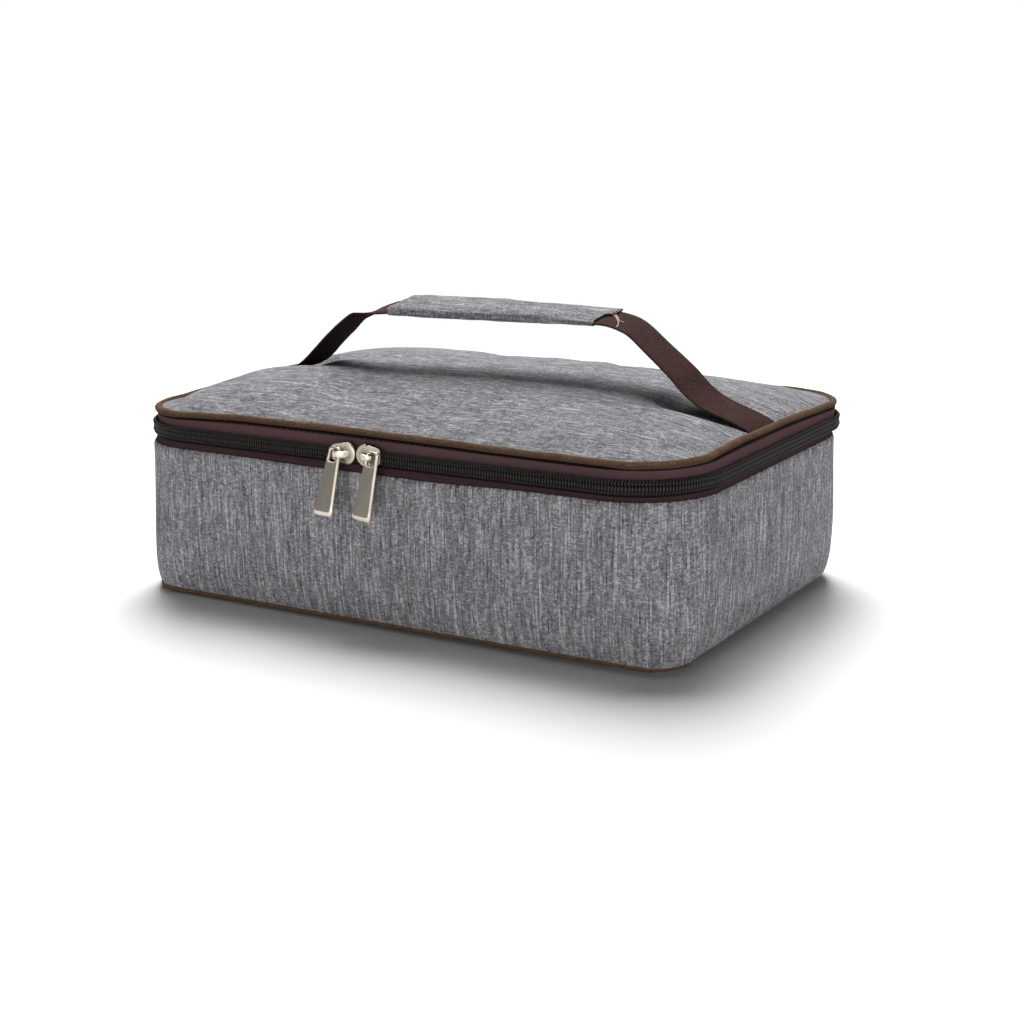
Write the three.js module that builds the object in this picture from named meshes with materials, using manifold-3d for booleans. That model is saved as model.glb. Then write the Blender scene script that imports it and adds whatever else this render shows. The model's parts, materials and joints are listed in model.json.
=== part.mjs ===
// A soft insulated cooler bag: a foam-lined tub, a padded domed lid on a cloth hinge at the rear,
// a coil zip with two sliders that meet at the front, and a strap handle with a padded grip.
// Millimetres, +Z up, front towards -Y, origin at the middle of the face that the bag rests on.
import * as THREE from 'three';
import { mergeVertices } from 'three/addons/utils/BufferGeometryUtils.js';
import Module from 'manifold-3d';

const wasm = await Module();
wasm.setup();

// Tub
const WIDTH = 268; // wall to wall along X at the rim
const DEPTH = 186; // wall to wall along Y at the rim
const WALL_HEIGHT = 67; // floor to the top edge of the wall cloth
const CORNER_RADIUS = 35; // corners of the rim, seen from above
const FOOT_CORNER_RADIUS = 22; // corners of the wall's foot
const FOOT_TUCK = 2.4; // how far the wall's foot turns in
const WALL_SWELL = 0.6; // how far the wall swells out at half height

// Layers
const CLOTH = 0.9; // outer cloth with its coating
const FOAM = 5; // closed-cell foam in the walls and the floor
const LID_FOAM = 4.5;
const LINER = 0.5; // foil-faced film
const LAYER_GAP = 0.3; // between sewn or glued layers
const BINDING = 0.9; // folded tape over the inner seams
const BINDING_DROP = 7; // how far the rim binding reaches down inside
const LID_BINDING_HEIGHT = 3.3;
const LID_BINDING_WIDTH = 1.8;
const RIM_STEP = 2; // foam and liner end this far below the wall's top edge

// Zip
const TAPE = 0.7;
const TAPE_TUCK = 6; // sewn in behind the wall cloth
const LOWER_TAPE_SHOW = 3;
const UPPER_TAPE_SHOW = 3.3;
const COIL_ROW = 2.8; // height of one row of the coil
const COIL_THICK = 1.9;
const NECK = 0.6; // slider's neck between the two rows
const RUN_CLEARANCE = 0.3; // between a slider and what it runs on
const HINGE_HALF = 70; // half the cloth hinge, where the zip ends on the rear wall
const STOP_LENGTH = 3;

// Piping
const PIPING_RADIUS = 1.5;
const LID_PIPING_INSET = 2.8;
const FOOT_PIPING_INSET = 3;

// Lid
const LID_CROWN = 14; // rise of the padded top above its edge
const CROWN_POWER = { x: 2.2, y: 3 }; // how flat the middle of the crown is each way

// Sliders and pulls
const SLIDER_LENGTH = 11.5;
const SLIDER_LIP = 1.2; // plate past the coil, above and below
const SLIDER_TAIL_HALF = 3.4; // half height of the narrow end
const FRONT_PLATE = 1.2;
const BACK_PLATE = 1;
const NECK_LENGTH = 2;
const BRIDGE_GAP = 2.6; // room under the bridge
const BRIDGE_THICK = 1;
const BRIDGE_WIDTH = 1.8;
const BRIDGE_LEG = 1.6;
const BRIDGE_TAIL_INSET = 1.7; // tail end of the plate to the bridge's leg
const BRIDGE_SPAN = 7.6; // over both legs
const SLIDERS_MEET = -7.5; // X where the closed sliders touch
const SLIDER_MEETING_GAP = 0.4;
const PULL_THICK = 1.6;
const PULL_DROP = 25; // pivot to tip
const PULL_TIP_WIDTH = 8.8;
const PULL_TIP_CHAMFER = 1;
const PULL_TOP_WIDTH = 5.6;
const PULL_BAR = 1.2; // bar over the pivot
const PULL_WINDOW_DROP = 3; // window below the pivot
const PULL_TILT = { left: 0.26, right: 0.23 }; // radians that the tips swing to the left at rest

// Handle
const HANDLE_Y = -7; // middle of the strap along Y
const WEBBING_WIDTH = 26;
const GRIP_WEBBING_WIDTH = 23.4; // edges folded in under the sleeve
const WEBBING = 1.4;
const HAND_GAP = 23; // lid's crest to the underside of the grip
const GRIP_LENGTH = 97;
const GRIP_SHIFT = 6; // middle of the grip along X
const GRIP_YAW = 0.11; // radians that the slack grip is turned about Z
const GRIP_CORE = 1.4;
const GRIP_END_RUN = 1; // webbing kept straight past each end of the sleeve
const FOLD_RUN = 8; // length over which the webbing's edges fold in beside the grip
const STRAP_SEAM_GAP = 0.8; // strap's end to the edge of the lid cloth
const RISE_ANGLE = 0.68; // radians at which the strap leaves the lid
const RISER = {
  right: { lift: 106, foot: 15, top: 11, droop: 0 },
  left: { lift: 93, foot: 15, top: 24, droop: 2 },
}; // where each side leaves the lid, the lengths of its curve's handles, and the droop of the upper one

const HALF_WIDTH = WIDTH / 2;
const HALF_DEPTH = DEPTH / 2;
const CORNER_STEPS = 5;
const LID_SIDE_STEPS = { long: 6, short: 4 };

// Heights that follow from the sizes above
const COIL_FOOT = WALL_HEIGHT + LOWER_TAPE_SHOW;
const CHAIN_GAP = NECK + 2 * RUN_CLEARANCE;
const CHAIN_Z = COIL_FOOT + COIL_ROW + CHAIN_GAP / 2;
const COIL_TOP = CHAIN_Z + CHAIN_GAP / 2 + COIL_ROW;
const UPPER_TAPE_TOP = COIL_TOP + UPPER_TAPE_SHOW - LAYER_GAP;
const LID_PIPING_Z = COIL_TOP + UPPER_TAPE_SHOW + PIPING_RADIUS;
const LID_EDGE_Z = LID_PIPING_Z;
const LID_CREST = LID_EDGE_Z + LID_CROWN;
const FOOT_PIPING_Z = PIPING_RADIUS + LAYER_GAP;
const WALL_FOOT = FOOT_PIPING_Z + PIPING_RADIUS + LAYER_GAP;
const FLOOR_FOAM_Z = CLOTH + LAYER_GAP;
const FLOOR_LINER_Z = FLOOR_FOAM_Z + FOAM + LAYER_GAP;
const RIM_TOP = WALL_HEIGHT - RIM_STEP;

// Insets from the rim's outer face, counted inwards
const TAPE_INSET = CLOTH + LAYER_GAP;
const TAPE_INNER = TAPE_INSET + TAPE;
const COIL_INSET = TAPE_INSET - LAYER_GAP;
const COIL_OUTER = COIL_INSET - COIL_THICK;
const FOAM_INNER = CLOTH + LAYER_GAP + FOAM;
const LINER_OUTER = FOAM_INNER + LAYER_GAP;
const LINER_INNER = LINER_OUTER + LINER;
const LID_EDGE_INSET = LID_PIPING_INSET + PIPING_RADIUS + LAYER_GAP;
const PANEL_INSET = FOOT_PIPING_INSET + PIPING_RADIUS + LAYER_GAP;

const material = (color, roughness, metalness = 0) =>
  new THREE.MeshStandardMaterial({ color, roughness, metalness });
const GREY_CLOTH = material(0x818183, 0.9);
const BROWN_TAPE = material(0x3f2c2d, 0.85);
const BROWN_PIPING = material(0x63482e, 0.8);
const BROWN_WEBBING = material(0x402b29, 0.88);
const BLACK_COIL = material(0x262627, 0.5);
const NICKEL = material(0xbdb8a8, 0.28, 1);
const SILVER_FILM = material(0xc9cdd0, 0.25, 0.9);
const WHITE_FOAM = material(0xeceae4, 0.95);

// A closed surface from vertices and triangles, turned so that its faces point out.
function closedGeometry(points, triangles) {
  const at = (i) => new THREE.Vector3(...points[i]);
  const volume = triangles.reduce((sum, [a, b, c]) => sum + at(a).dot(at(b).cross(at(c))), 0);
  const facing = volume < 0 ? triangles.map(([a, b, c]) => [a, c, b]) : triangles;
  return new THREE.BufferGeometry()
    .setAttribute('position', new THREE.Float32BufferAttribute(points.flat(), 3))
    .setIndex(facing.flat());
}

// A geometry as a solid for joining, and back again.
function solid(geometry) {
  const bare = geometry.clone();
  bare.deleteAttribute('normal');
  bare.deleteAttribute('uv');
  const merged = mergeVertices(bare, 1e-4);
  return new wasm.Manifold(
    new wasm.Mesh({
      numProp: 3,
      vertProperties: merged.attributes.position.array,
      triVerts: new Uint32Array(merged.index.array),
    }),
  );
}

function joined(geometries) {
  const mesh = geometries.map(solid).reduce((all, next) => all.add(next)).getMesh();
  return new THREE.BufferGeometry()
    .setAttribute('position', new THREE.BufferAttribute(mesh.vertProperties, 3))
    .setIndex(new THREE.BufferAttribute(mesh.triVerts, 1));
}

// Four round corners of a rectangle, counter-clockwise from the rear left one.
function roundedOutline(halfWidth, halfDepth, radius) {
  return [1, 2, 3, 4].flatMap((quarter) => {
    const middle = ((quarter + 0.5) * Math.PI) / 2;
    const x = Math.sign(Math.cos(middle)) * (halfWidth - radius);
    const y = Math.sign(Math.sin(middle)) * (halfDepth - radius);
    return Array.from({ length: CORNER_STEPS + 1 }, (_, step) => {
      const angle = ((quarter + step / CORNER_STEPS) * Math.PI) / 2;
      return [x + radius * Math.cos(angle), y + radius * Math.sin(angle)];
    });
  });
}

// The same with points along the sides, for surfaces that bend along them.
function steppedOutline(halfWidth, halfDepth, radius) {
  const corners = roundedOutline(halfWidth, halfDepth, radius);
  return corners.flatMap(([x, y], i) => {
    if ((i + 1) % (CORNER_STEPS + 1) !== 0) return [[x, y]];
    const [nextX, nextY] = corners[(i + 1) % corners.length];
    const steps = Math.abs(nextX - x) > Math.abs(nextY - y) ? LID_SIDE_STEPS.long : LID_SIDE_STEPS.short;
    return Array.from({ length: steps }, (_, k) => [
      x + ((nextX - x) * k) / steps,
      y + ((nextY - y) * k) / steps,
    ]);
  });
}

// The bag's outline, taken in by inset, with its corners tightened towards the foot.
function bagOutline(inset, tighten = 0) {
  const radius = CORNER_RADIUS - inset - tighten;
  return roundedOutline(HALF_WIDTH - inset, HALF_DEPTH - inset, radius);
}

// A section carried all round the bag: each section point is { inset, z, tighten }.
function ring(section) {
  const loops = section.map((p) => bagOutline(p.inset, p.tighten).map(([x, y]) => [x, y, p.z]));
  const count = loops[0].length;
  const triangles = loops.flatMap((_, j) =>
    Array.from({ length: count }, (_, i) => {
      const next = (j + 1) % loops.length;
      const a = j * count + i;
      const b = j * count + ((i + 1) % count);
      const c = next * count + ((i + 1) % count);
      const d = next * count + i;
      return [
        [a, b, c],
        [a, c, d],
      ];
    }).flat(),
  );
  return closedGeometry(loops.flat(), triangles);
}

// A section carried round the sides and the front, from one end of the cloth hinge to the other.
function openBand(section, halfGap) {
  const loops = section.map(({ inset, z }) => {
    const rear = HALF_DEPTH - inset;
    return [[-halfGap, rear], ...bagOutline(inset), [halfGap, rear]].map(([x, y]) => [x, y, z]);
  });
  const count = loops[0].length;
  const sides = loops.length;
  const triangles = loops.flatMap((_, j) =>
    Array.from({ length: count - 1 }, (_, i) => {
      const next = (j + 1) % sides;
      return [
        [j * count + i, j * count + i + 1, next * count + i + 1],
        [j * count + i, next * count + i + 1, next * count + i],
      ];
    }).flat(),
  );
  for (let j = 1; j < sides - 1; j++) {
    triangles.push([0, j * count, (j + 1) * count]);
    triangles.push([count - 1, (j + 2) * count - 1, (j + 1) * count - 1]);
  }
  return closedGeometry(loops.flat(), triangles);
}

// A flat panel inside an outline, between two heights.
function panel(outline, low, high) {
  const shape = new THREE.Shape(outline.map(([x, y]) => new THREE.Vector2(x, y)));
  return new THREE.ExtrudeGeometry(shape, { depth: high - low, bevelEnabled: false }).translate(0, 0, low);
}

const rectangle = (insetA, insetB, low, high) => [
  { inset: insetA, z: low },
  { inset: insetB, z: low },
  { inset: insetB, z: high },
  { inset: insetA, z: high },
];

const roundSection = (inset, z, radius, tighten = 0) =>
  Array.from({ length: 8 }, (_, i) => {
    const angle = ((i + 0.5) * Math.PI) / 4;
    return { inset: inset - radius * Math.cos(angle), z: z + radius * Math.sin(angle), tighten };
  });

// Wall: its foot turns in with the sixth power of the height that is left, and it swells as half a sine.
// Both end at the shoulder, where the zip tape begins.
const FOOT_TIGHTEN = CORNER_RADIUS - FOOT_TUCK - FOOT_CORNER_RADIUS;
const SHOULDER = WALL_HEIGHT - TAPE_TUCK - LAYER_GAP;
const WALL_LEVELS = [0, 0.08, 0.2, 0.45, 0.75, 1].map((share) => WALL_FOOT + share * (SHOULDER - WALL_FOOT));

function wallPoint(z, offset) {
  const share = THREE.MathUtils.clamp((z - WALL_FOOT) / (SHOULDER - WALL_FOOT), 0, 1);
  const inset = FOOT_TUCK * (1 - share) ** 6 - WALL_SWELL * Math.sin(Math.PI * share);
  return { inset: inset + offset, z, tighten: FOOT_TIGHTEN * (1 - share) };
}

// Points up one face of the wall from low to the shoulder.
function wallFace(low, offset) {
  const levels = [low, ...WALL_LEVELS.filter((z) => z > low + CLOTH)];
  return levels.map((z) => wallPoint(z, offset));
}

function wallLayer(low, high, outer, inner) {
  return ring([
    ...wallFace(low, outer),
    wallPoint(high, outer),
    wallPoint(high, inner),
    ...wallFace(low, inner).reverse(),
  ]);
}

const wallCloth = () => wallLayer(WALL_FOOT, WALL_HEIGHT, 0, CLOTH);
const wallFoam = () => {
  const behindTape = TAPE_INNER + LAYER_GAP;
  return ring([
    ...wallFace(FLOOR_LINER_Z, CLOTH + LAYER_GAP),
    wallPoint(SHOULDER, behindTape),
    wallPoint(RIM_TOP, behindTape),
    wallPoint(RIM_TOP, FOAM_INNER),
    ...wallFace(FLOOR_LINER_Z, FOAM_INNER).reverse(),
  ]);
};
const wallLiner = () => wallLayer(FLOOR_LINER_Z, RIM_TOP, LINER_OUTER, LINER_INNER);

const floorCloth = () => panel(bagOutline(PANEL_INSET, FOOT_TIGHTEN), 0, CLOTH);
const floorFoam = () => panel(bagOutline(PANEL_INSET, FOOT_TIGHTEN), FLOOR_FOAM_Z, FLOOR_FOAM_Z + FOAM);
const floorLiner = () => {
  const { inset, tighten } = wallPoint(FLOOR_LINER_Z, LINER_INNER + LAYER_GAP);
  return panel(bagOutline(inset, tighten), FLOOR_LINER_Z, FLOOR_LINER_Z + LINER);
};
const footPiping = () => ring(roundSection(FOOT_PIPING_INSET, FOOT_PIPING_Z, PIPING_RADIUS, FOOT_TIGHTEN));

// Folded tape over the top of the foam and the liner.
const rimBinding = () => {
  const outer = TAPE_INNER + LAYER_GAP;
  const flap = LINER_INNER + LAYER_GAP;
  const low = RIM_TOP + LAYER_GAP;
  return ring([
    { inset: outer, z: low },
    { inset: outer, z: low + BINDING },
    { inset: flap + BINDING, z: low + BINDING },
    { inset: flap + BINDING, z: low - BINDING_DROP },
    { inset: flap, z: low - BINDING_DROP },
    { inset: flap, z: low },
  ]);
};

// Zip
const TAPE_END = HINGE_HALF + LAYER_GAP;
const COIL_END = TAPE_END + STOP_LENGTH + LAYER_GAP;
const lowerTape = () =>
  openBand(
    rectangle(TAPE_INSET, TAPE_INNER, WALL_HEIGHT - TAPE_TUCK, CHAIN_Z - CHAIN_GAP / 2),
    TAPE_END,
  );
const upperTape = () =>
  openBand(rectangle(TAPE_INSET, TAPE_INNER, CHAIN_Z + CHAIN_GAP / 2, UPPER_TAPE_TOP), TAPE_END);

// One row of the coil, as a bar with a rounded face.
function coilRow(low, end) {
  const round = COIL_THICK / 3;
  return openBand(
    [
      { inset: COIL_INSET, z: low },
      { inset: COIL_OUTER + round, z: low },
      { inset: COIL_OUTER, z: low + round },
      { inset: COIL_OUTER, z: low + COIL_ROW - round },
      { inset: COIL_OUTER + round, z: low + COIL_ROW },
      { inset: COIL_INSET, z: low + COIL_ROW },
    ],
    end,
  );
}

const hingeStrip = () =>
  new THREE.BoxGeometry(2 * HINGE_HALF, TAPE, UPPER_TAPE_TOP - WALL_HEIGHT + TAPE_TUCK).translate(
    0,
    HALF_DEPTH - TAPE_INSET - TAPE / 2,
    (UPPER_TAPE_TOP + WALL_HEIGHT - TAPE_TUCK) / 2,
  );

const zipStop = (side) =>
  new THREE.BoxGeometry(STOP_LENGTH, COIL_THICK, COIL_ROW).translate(
    side * (TAPE_END + STOP_LENGTH / 2),
    HALF_DEPTH - COIL_INSET + COIL_THICK / 2,
    COIL_FOOT + COIL_ROW / 2,
  );

// Lid: rounded rectangles that shrink to the middle as the top rises to its crest.
const LID_HALF_WIDTH = HALF_WIDTH - LID_EDGE_INSET;
const LID_HALF_DEPTH = HALF_DEPTH - LID_EDGE_INSET;
const LID_RADIUS = CORNER_RADIUS - LID_EDGE_INSET;
const LID_SHARES = [0, 0.04, 0.1, 0.2, 0.35, 0.55, 0.8];

// The rise is the product of one falling power along X and one along Y.
function lidSurface(x, y) {
  const along = 1 - (Math.abs(x) / LID_HALF_WIDTH) ** CROWN_POWER.x;
  const across = 1 - (Math.abs(y) / LID_HALF_DEPTH) ** CROWN_POWER.y;
  return LID_EDGE_Z + LID_CROWN * along * across;
}

// One layer of the padded top, from top to bottom measured down from the outer surface.
function lidLayer(edgeShare, top, bottom) {
  const shares = LID_SHARES.map((share) => edgeShare + share * (1 - edgeShare));
  const side = (drop) =>
    shares.map((share) => {
      const size = 1 - share;
      const outline = steppedOutline(LID_HALF_WIDTH * size, LID_HALF_DEPTH * size, LID_RADIUS * size);
      return outline.map(([x, y]) => [x, y, lidSurface(x, y) - drop]);
    });
  const loops = [...side(top).reverse(), ...side(bottom)];
  const count = loops[0].length;
  const points = [...loops.flat(), [0, 0, LID_CREST - top], [0, 0, LID_CREST - bottom]];
  const triangles = [];
  for (let i = 0; i < count; i++) {
    const next = (i + 1) % count;
    for (let j = 0; j < loops.length - 1; j++) {
      triangles.push([j * count + i, (j + 1) * count + i, (j + 1) * count + next]);
      triangles.push([j * count + i, (j + 1) * count + next, j * count + next]);
    }
    const last = (loops.length - 1) * count;
    triangles.push([points.length - 2, i, next]);
    triangles.push([points.length - 1, last + next, last + i]);
  }
  return closedGeometry(points, triangles);
}

const LID_FOAM_DROP = CLOTH + LAYER_GAP;
const LID_LINER_DROP = LID_FOAM_DROP + LID_FOAM + LAYER_GAP;
const LID_BINDING_INSET = LID_EDGE_INSET - LID_BINDING_WIDTH / 2;
const LID_LAYER_EDGE =
  (LID_BINDING_INSET + LID_BINDING_WIDTH + LAYER_GAP - LID_EDGE_INSET) / LID_HALF_DEPTH;
const LID_BINDING_TOP = LID_PIPING_Z - PIPING_RADIUS - LAYER_GAP;

const lidCloth = () => lidLayer(0, 0, CLOTH);
const lidFoam = () => lidLayer(LID_LAYER_EDGE, LID_FOAM_DROP, LID_FOAM_DROP + LID_FOAM);
const lidLiner = () => lidLayer(LID_LAYER_EDGE, LID_LINER_DROP, LID_LINER_DROP + LINER);
const lidPiping = () => ring(roundSection(LID_PIPING_INSET, LID_PIPING_Z, PIPING_RADIUS));
const lidBinding = () =>
  ring(
    rectangle(
      LID_BINDING_INSET,
      LID_BINDING_INSET + LID_BINDING_WIDTH,
      LID_BINDING_TOP - LID_BINDING_HEIGHT,
      LID_BINDING_TOP,
    ),
  );

// A shape drawn in X and Z, carried along Y.
function alongY(shape, low, high) {
  return new THREE.ExtrudeGeometry(shape, { depth: high - low, bevelEnabled: false, curveSegments: 8 })
    .rotateX(Math.PI / 2)
    .translate(0, high, 0);
}

// Sliders: mouth is +1 where the wide end faces +X, and the origin is on the zip's centre line
// at the rim's outer face, with -Y outwards.
const SLIDER_HALF_HEIGHT = COIL_ROW + CHAIN_GAP / 2 + SLIDER_LIP;
const FRONT_PLATE_INNER = COIL_OUTER - RUN_CLEARANCE;
const FRONT_PLATE_OUTER = FRONT_PLATE_INNER - FRONT_PLATE;
const BACK_PLATE_OUTER = TAPE_INNER + RUN_CLEARANCE;
const BRIDGE_TOP = FRONT_PLATE_OUTER - BRIDGE_GAP - BRIDGE_THICK;
const PIVOT_FROM_MIDDLE = SLIDER_LENGTH / 2 - BRIDGE_TAIL_INSET - BRIDGE_LEG / 2;

function sliderOutline(mouth) {
  const half = SLIDER_LENGTH / 2;
  const round = half - SLIDER_HALF_HEIGHT;
  const outline = new THREE.Path();
  outline.absarc(round, 0, SLIDER_HALF_HEIGHT, -Math.PI / 2, Math.PI / 2);
  const points = [
    new THREE.Vector2(-half, -SLIDER_TAIL_HALF),
    ...outline.getPoints(10),
    new THREE.Vector2(-half, SLIDER_TAIL_HALF),
  ];
  return new THREE.Shape(points.map((p) => new THREE.Vector2(mouth * p.x, p.y)));
}

// The bridge stands on two legs, drawn in X and Y.
function bridgeShape(mouth) {
  const tail = -SLIDER_LENGTH / 2 + BRIDGE_TAIL_INSET;
  const front = tail + BRIDGE_SPAN;
  const root = FRONT_PLATE_OUTER + FRONT_PLATE / 2;
  const under = FRONT_PLATE_OUTER - BRIDGE_GAP;
  const chamfer = BRIDGE_THICK / 2;
  const corners = [
    [tail, root],
    [tail, BRIDGE_TOP + chamfer],
    [tail + chamfer, BRIDGE_TOP],
    [front - chamfer, BRIDGE_TOP],
    [front, BRIDGE_TOP + chamfer],
    [front, root],
    [front - BRIDGE_LEG, root],
    [front - BRIDGE_LEG, under],
    [tail + BRIDGE_LEG, under],
    [tail + BRIDGE_LEG, root],
  ];
  return new THREE.Shape(corners.map(([x, y]) => new THREE.Vector2(mouth * x, y)));
}

function sliderBody(mouth) {
  const outline = sliderOutline(mouth);
  const neckMiddle = mouth * (SLIDER_LENGTH / 2 - SLIDER_LIP - NECK_LENGTH / 2);
  const neckDepth = BACK_PLATE_OUTER - FRONT_PLATE_INNER + (FRONT_PLATE + BACK_PLATE) / 2;
  const neckY = (FRONT_PLATE_INNER - FRONT_PLATE / 2 + BACK_PLATE_OUTER + BACK_PLATE / 2) / 2;
  const bridge = new THREE.ExtrudeGeometry(bridgeShape(mouth), {
    depth: BRIDGE_WIDTH,
    bevelEnabled: false,
  });
  return joined([
    alongY(outline, FRONT_PLATE_OUTER, FRONT_PLATE_INNER),
    alongY(outline, BACK_PLATE_OUTER, BACK_PLATE_OUTER + BACK_PLATE),
    new THREE.BoxGeometry(NECK_LENGTH, neckDepth, NECK).translate(neckMiddle, neckY, 0),
    bridge.translate(0, 0, -BRIDGE_WIDTH / 2),
  ]);
}

// A pull hangs on the bridge's tail leg, which passes through its window. The origin is on that leg.
function pullPlate() {
  const reach = Math.hypot(BRIDGE_LEG, BRIDGE_WIDTH) / 2 + RUN_CLEARANCE;
  const top = reach + PULL_BAR;
  const shape = new THREE.Shape(
    [
      [-PULL_TOP_WIDTH / 2, top],
      [-PULL_TIP_WIDTH / 2, -PULL_DROP + PULL_TIP_CHAMFER],
      [-PULL_TIP_WIDTH / 2 + PULL_TIP_CHAMFER, -PULL_DROP],
      [PULL_TIP_WIDTH / 2 - PULL_TIP_CHAMFER, -PULL_DROP],
      [PULL_TIP_WIDTH / 2, -PULL_DROP + PULL_TIP_CHAMFER],
      [PULL_TOP_WIDTH / 2, top],
    ].map(([x, z]) => new THREE.Vector2(x, z)),
  );
  const window = [
    [-reach, reach],
    [reach, reach],
    [reach, -PULL_WINDOW_DROP],
    [-reach, -PULL_WINDOW_DROP],
  ];
  shape.holes.push(new THREE.Path(window.map(([x, z]) => new THREE.Vector2(x, z))));
  const middle = FRONT_PLATE_OUTER - BRIDGE_GAP / 2;
  return alongY(shape, middle - PULL_THICK / 2, middle + PULL_THICK / 2);
}

// Handle
const GRIP_UNDERSIDE = LID_CREST + HAND_GAP;
const GRIP_CORE_Z = GRIP_UNDERSIDE + CLOTH + LAYER_GAP;
const WEBBING_Z = GRIP_CORE_Z + GRIP_CORE + LAYER_GAP + WEBBING / 2;
const GRIP_TOP = WEBBING_Z + WEBBING / 2 + LAYER_GAP + CLOTH;
const GRIP_BORE_WIDTH = GRIP_WEBBING_WIDTH + 2 * LAYER_GAP;
const GRIP_WIDTH = GRIP_BORE_WIDTH + 2 * CLOTH;

// The webbing's middle line in X and Z: along the lid from one seam, up to the grip, and down to the other.
function webbingLine() {
  const nearEdge = Math.abs(HANDLE_Y) - WEBBING_WIDTH / 2;
  const highest = (x) => lidSurface(x, Math.max(nearEdge, 0));
  const onLid = (x) => {
    const run = 1;
    const slope = (highest(x + run) - highest(x - run)) / (2 * run);
    return new THREE.Vector2(x, highest(x) + (WEBBING / 2 + LAYER_GAP) * Math.hypot(1, slope));
  };
  const side = (sign, { lift, foot, top, droop }) => {
    const seam = LID_HALF_WIDTH - STRAP_SEAM_GAP;
    const lying = [0, 0.25, 0.5, 0.75, 1].map((share) => onLid(sign * (seam + share * (lift - seam))));
    const start = lying.at(-1);
    const rise = new THREE.Vector2(-sign * Math.cos(RISE_ANGLE), Math.sin(RISE_ANGLE));
    const gripEnd = new THREE.Vector2(GRIP_SHIFT + sign * (GRIP_LENGTH / 2 + GRIP_END_RUN), WEBBING_Z);
    const curve = new THREE.CubicBezierCurve(
      start,
      start.clone().addScaledVector(rise, foot),
      gripEnd.clone().add(new THREE.Vector2(sign * top, -droop)),
      gripEnd,
    );
    return [...lying.slice(0, -1), ...curve.getPoints(12)];
  };
  return [...side(1, RISER.right), ...side(-1, RISER.left).reverse()];
}

// A strip along that line. Its width is along Y at the seams and turns with the grip towards it.
function webbing() {
  const line = webbingLine();
  const points = line.flatMap((p, i) => {
    const before = line[Math.max(i - 1, 0)];
    const after = line[Math.min(i + 1, line.length - 1)];
    const along = after.clone().sub(before).normalize();
    const fromGrip = Math.max(Math.abs(p.x - GRIP_SHIFT) - GRIP_LENGTH / 2, 0);
    const lift = p.x > GRIP_SHIFT ? RISER.right.lift : RISER.left.lift;
    const riserRun = lift - GRIP_LENGTH / 2 - Math.abs(GRIP_SHIFT);
    const yaw = GRIP_YAW * (1 - THREE.MathUtils.smoothstep(fromGrip, GRIP_END_RUN, riserRun));
    const fold = THREE.MathUtils.smoothstep(fromGrip, GRIP_END_RUN, FOLD_RUN);
    const half = THREE.MathUtils.lerp(GRIP_WEBBING_WIDTH, WEBBING_WIDTH, fold) / 2;
    const turn = new THREE.Vector2(GRIP_SHIFT, HANDLE_Y);
    return [
      [-1, -1],
      [1, -1],
      [1, 1],
      [-1, 1],
    ].map(([across, over]) => {
      const x = p.x - (along.y * over * WEBBING) / 2;
      const z = p.y + (along.x * over * WEBBING) / 2;
      const flat = new THREE.Vector2(x, HANDLE_Y + across * half).rotateAround(turn, yaw);
      return [flat.x, flat.y, z];
    });
  });
  const last = points.length - 4;
  const triangles = [
    [0, 1, 2],
    [0, 2, 3],
    [last, last + 2, last + 1],
    [last, last + 3, last + 2],
  ];
  for (let i = 0; i < last; i += 4) {
    for (let k = 0; k < 4; k++) {
      const next = (k + 1) % 4;
      triangles.push([i + k, i + 4 + k, i + 4 + next]);
      triangles.push([i + k, i + 4 + next, i + next]);
    }
  }
  return closedGeometry(points, triangles);
}

// A rounded rectangle in Y and Z, carried along the grip.
function alongGrip(width, low, high, round, hole) {
  const half = width / 2;
  const shape = new THREE.Shape();
  shape.moveTo(-half + round, low);
  shape.lineTo(half - round, low);
  shape.absarc(half - round, low + round, round, -Math.PI / 2, 0);
  shape.absarc(half - round, high - round, round, 0, Math.PI / 2);
  shape.absarc(-half + round, high - round, round, Math.PI / 2, Math.PI);
  shape.absarc(-half + round, low + round, round, Math.PI, 1.5 * Math.PI);
  if (hole) {
    shape.holes.push(new THREE.Path(hole.map(([y, z]) => new THREE.Vector2(y, z))));
  }
  return new THREE.ExtrudeGeometry(shape, { depth: GRIP_LENGTH, bevelEnabled: false, curveSegments: 4 })
    .rotateX(Math.PI / 2)
    .rotateZ(Math.PI / 2)
    .translate(-GRIP_LENGTH / 2, 0, 0);
}

const gripSleeve = () => {
  const bore = GRIP_BORE_WIDTH / 2;
  const low = GRIP_UNDERSIDE + CLOTH;
  const high = GRIP_TOP - CLOTH;
  const hole = [
    [-bore, low],
    [bore, low],
    [bore, high],
    [-bore, high],
  ];
  return alongGrip(GRIP_WIDTH, GRIP_UNDERSIDE, GRIP_TOP, 2 * CLOTH, hole);
};
const gripCore = () =>
  alongGrip(GRIP_WEBBING_WIDTH, GRIP_CORE_Z, GRIP_CORE_Z + GRIP_CORE, GRIP_CORE / 3);

// Assembly
function piece(name, geometry, finish) {
  const mesh = new THREE.Mesh(geometry, finish);
  mesh.name = name;
  return mesh;
}

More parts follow.
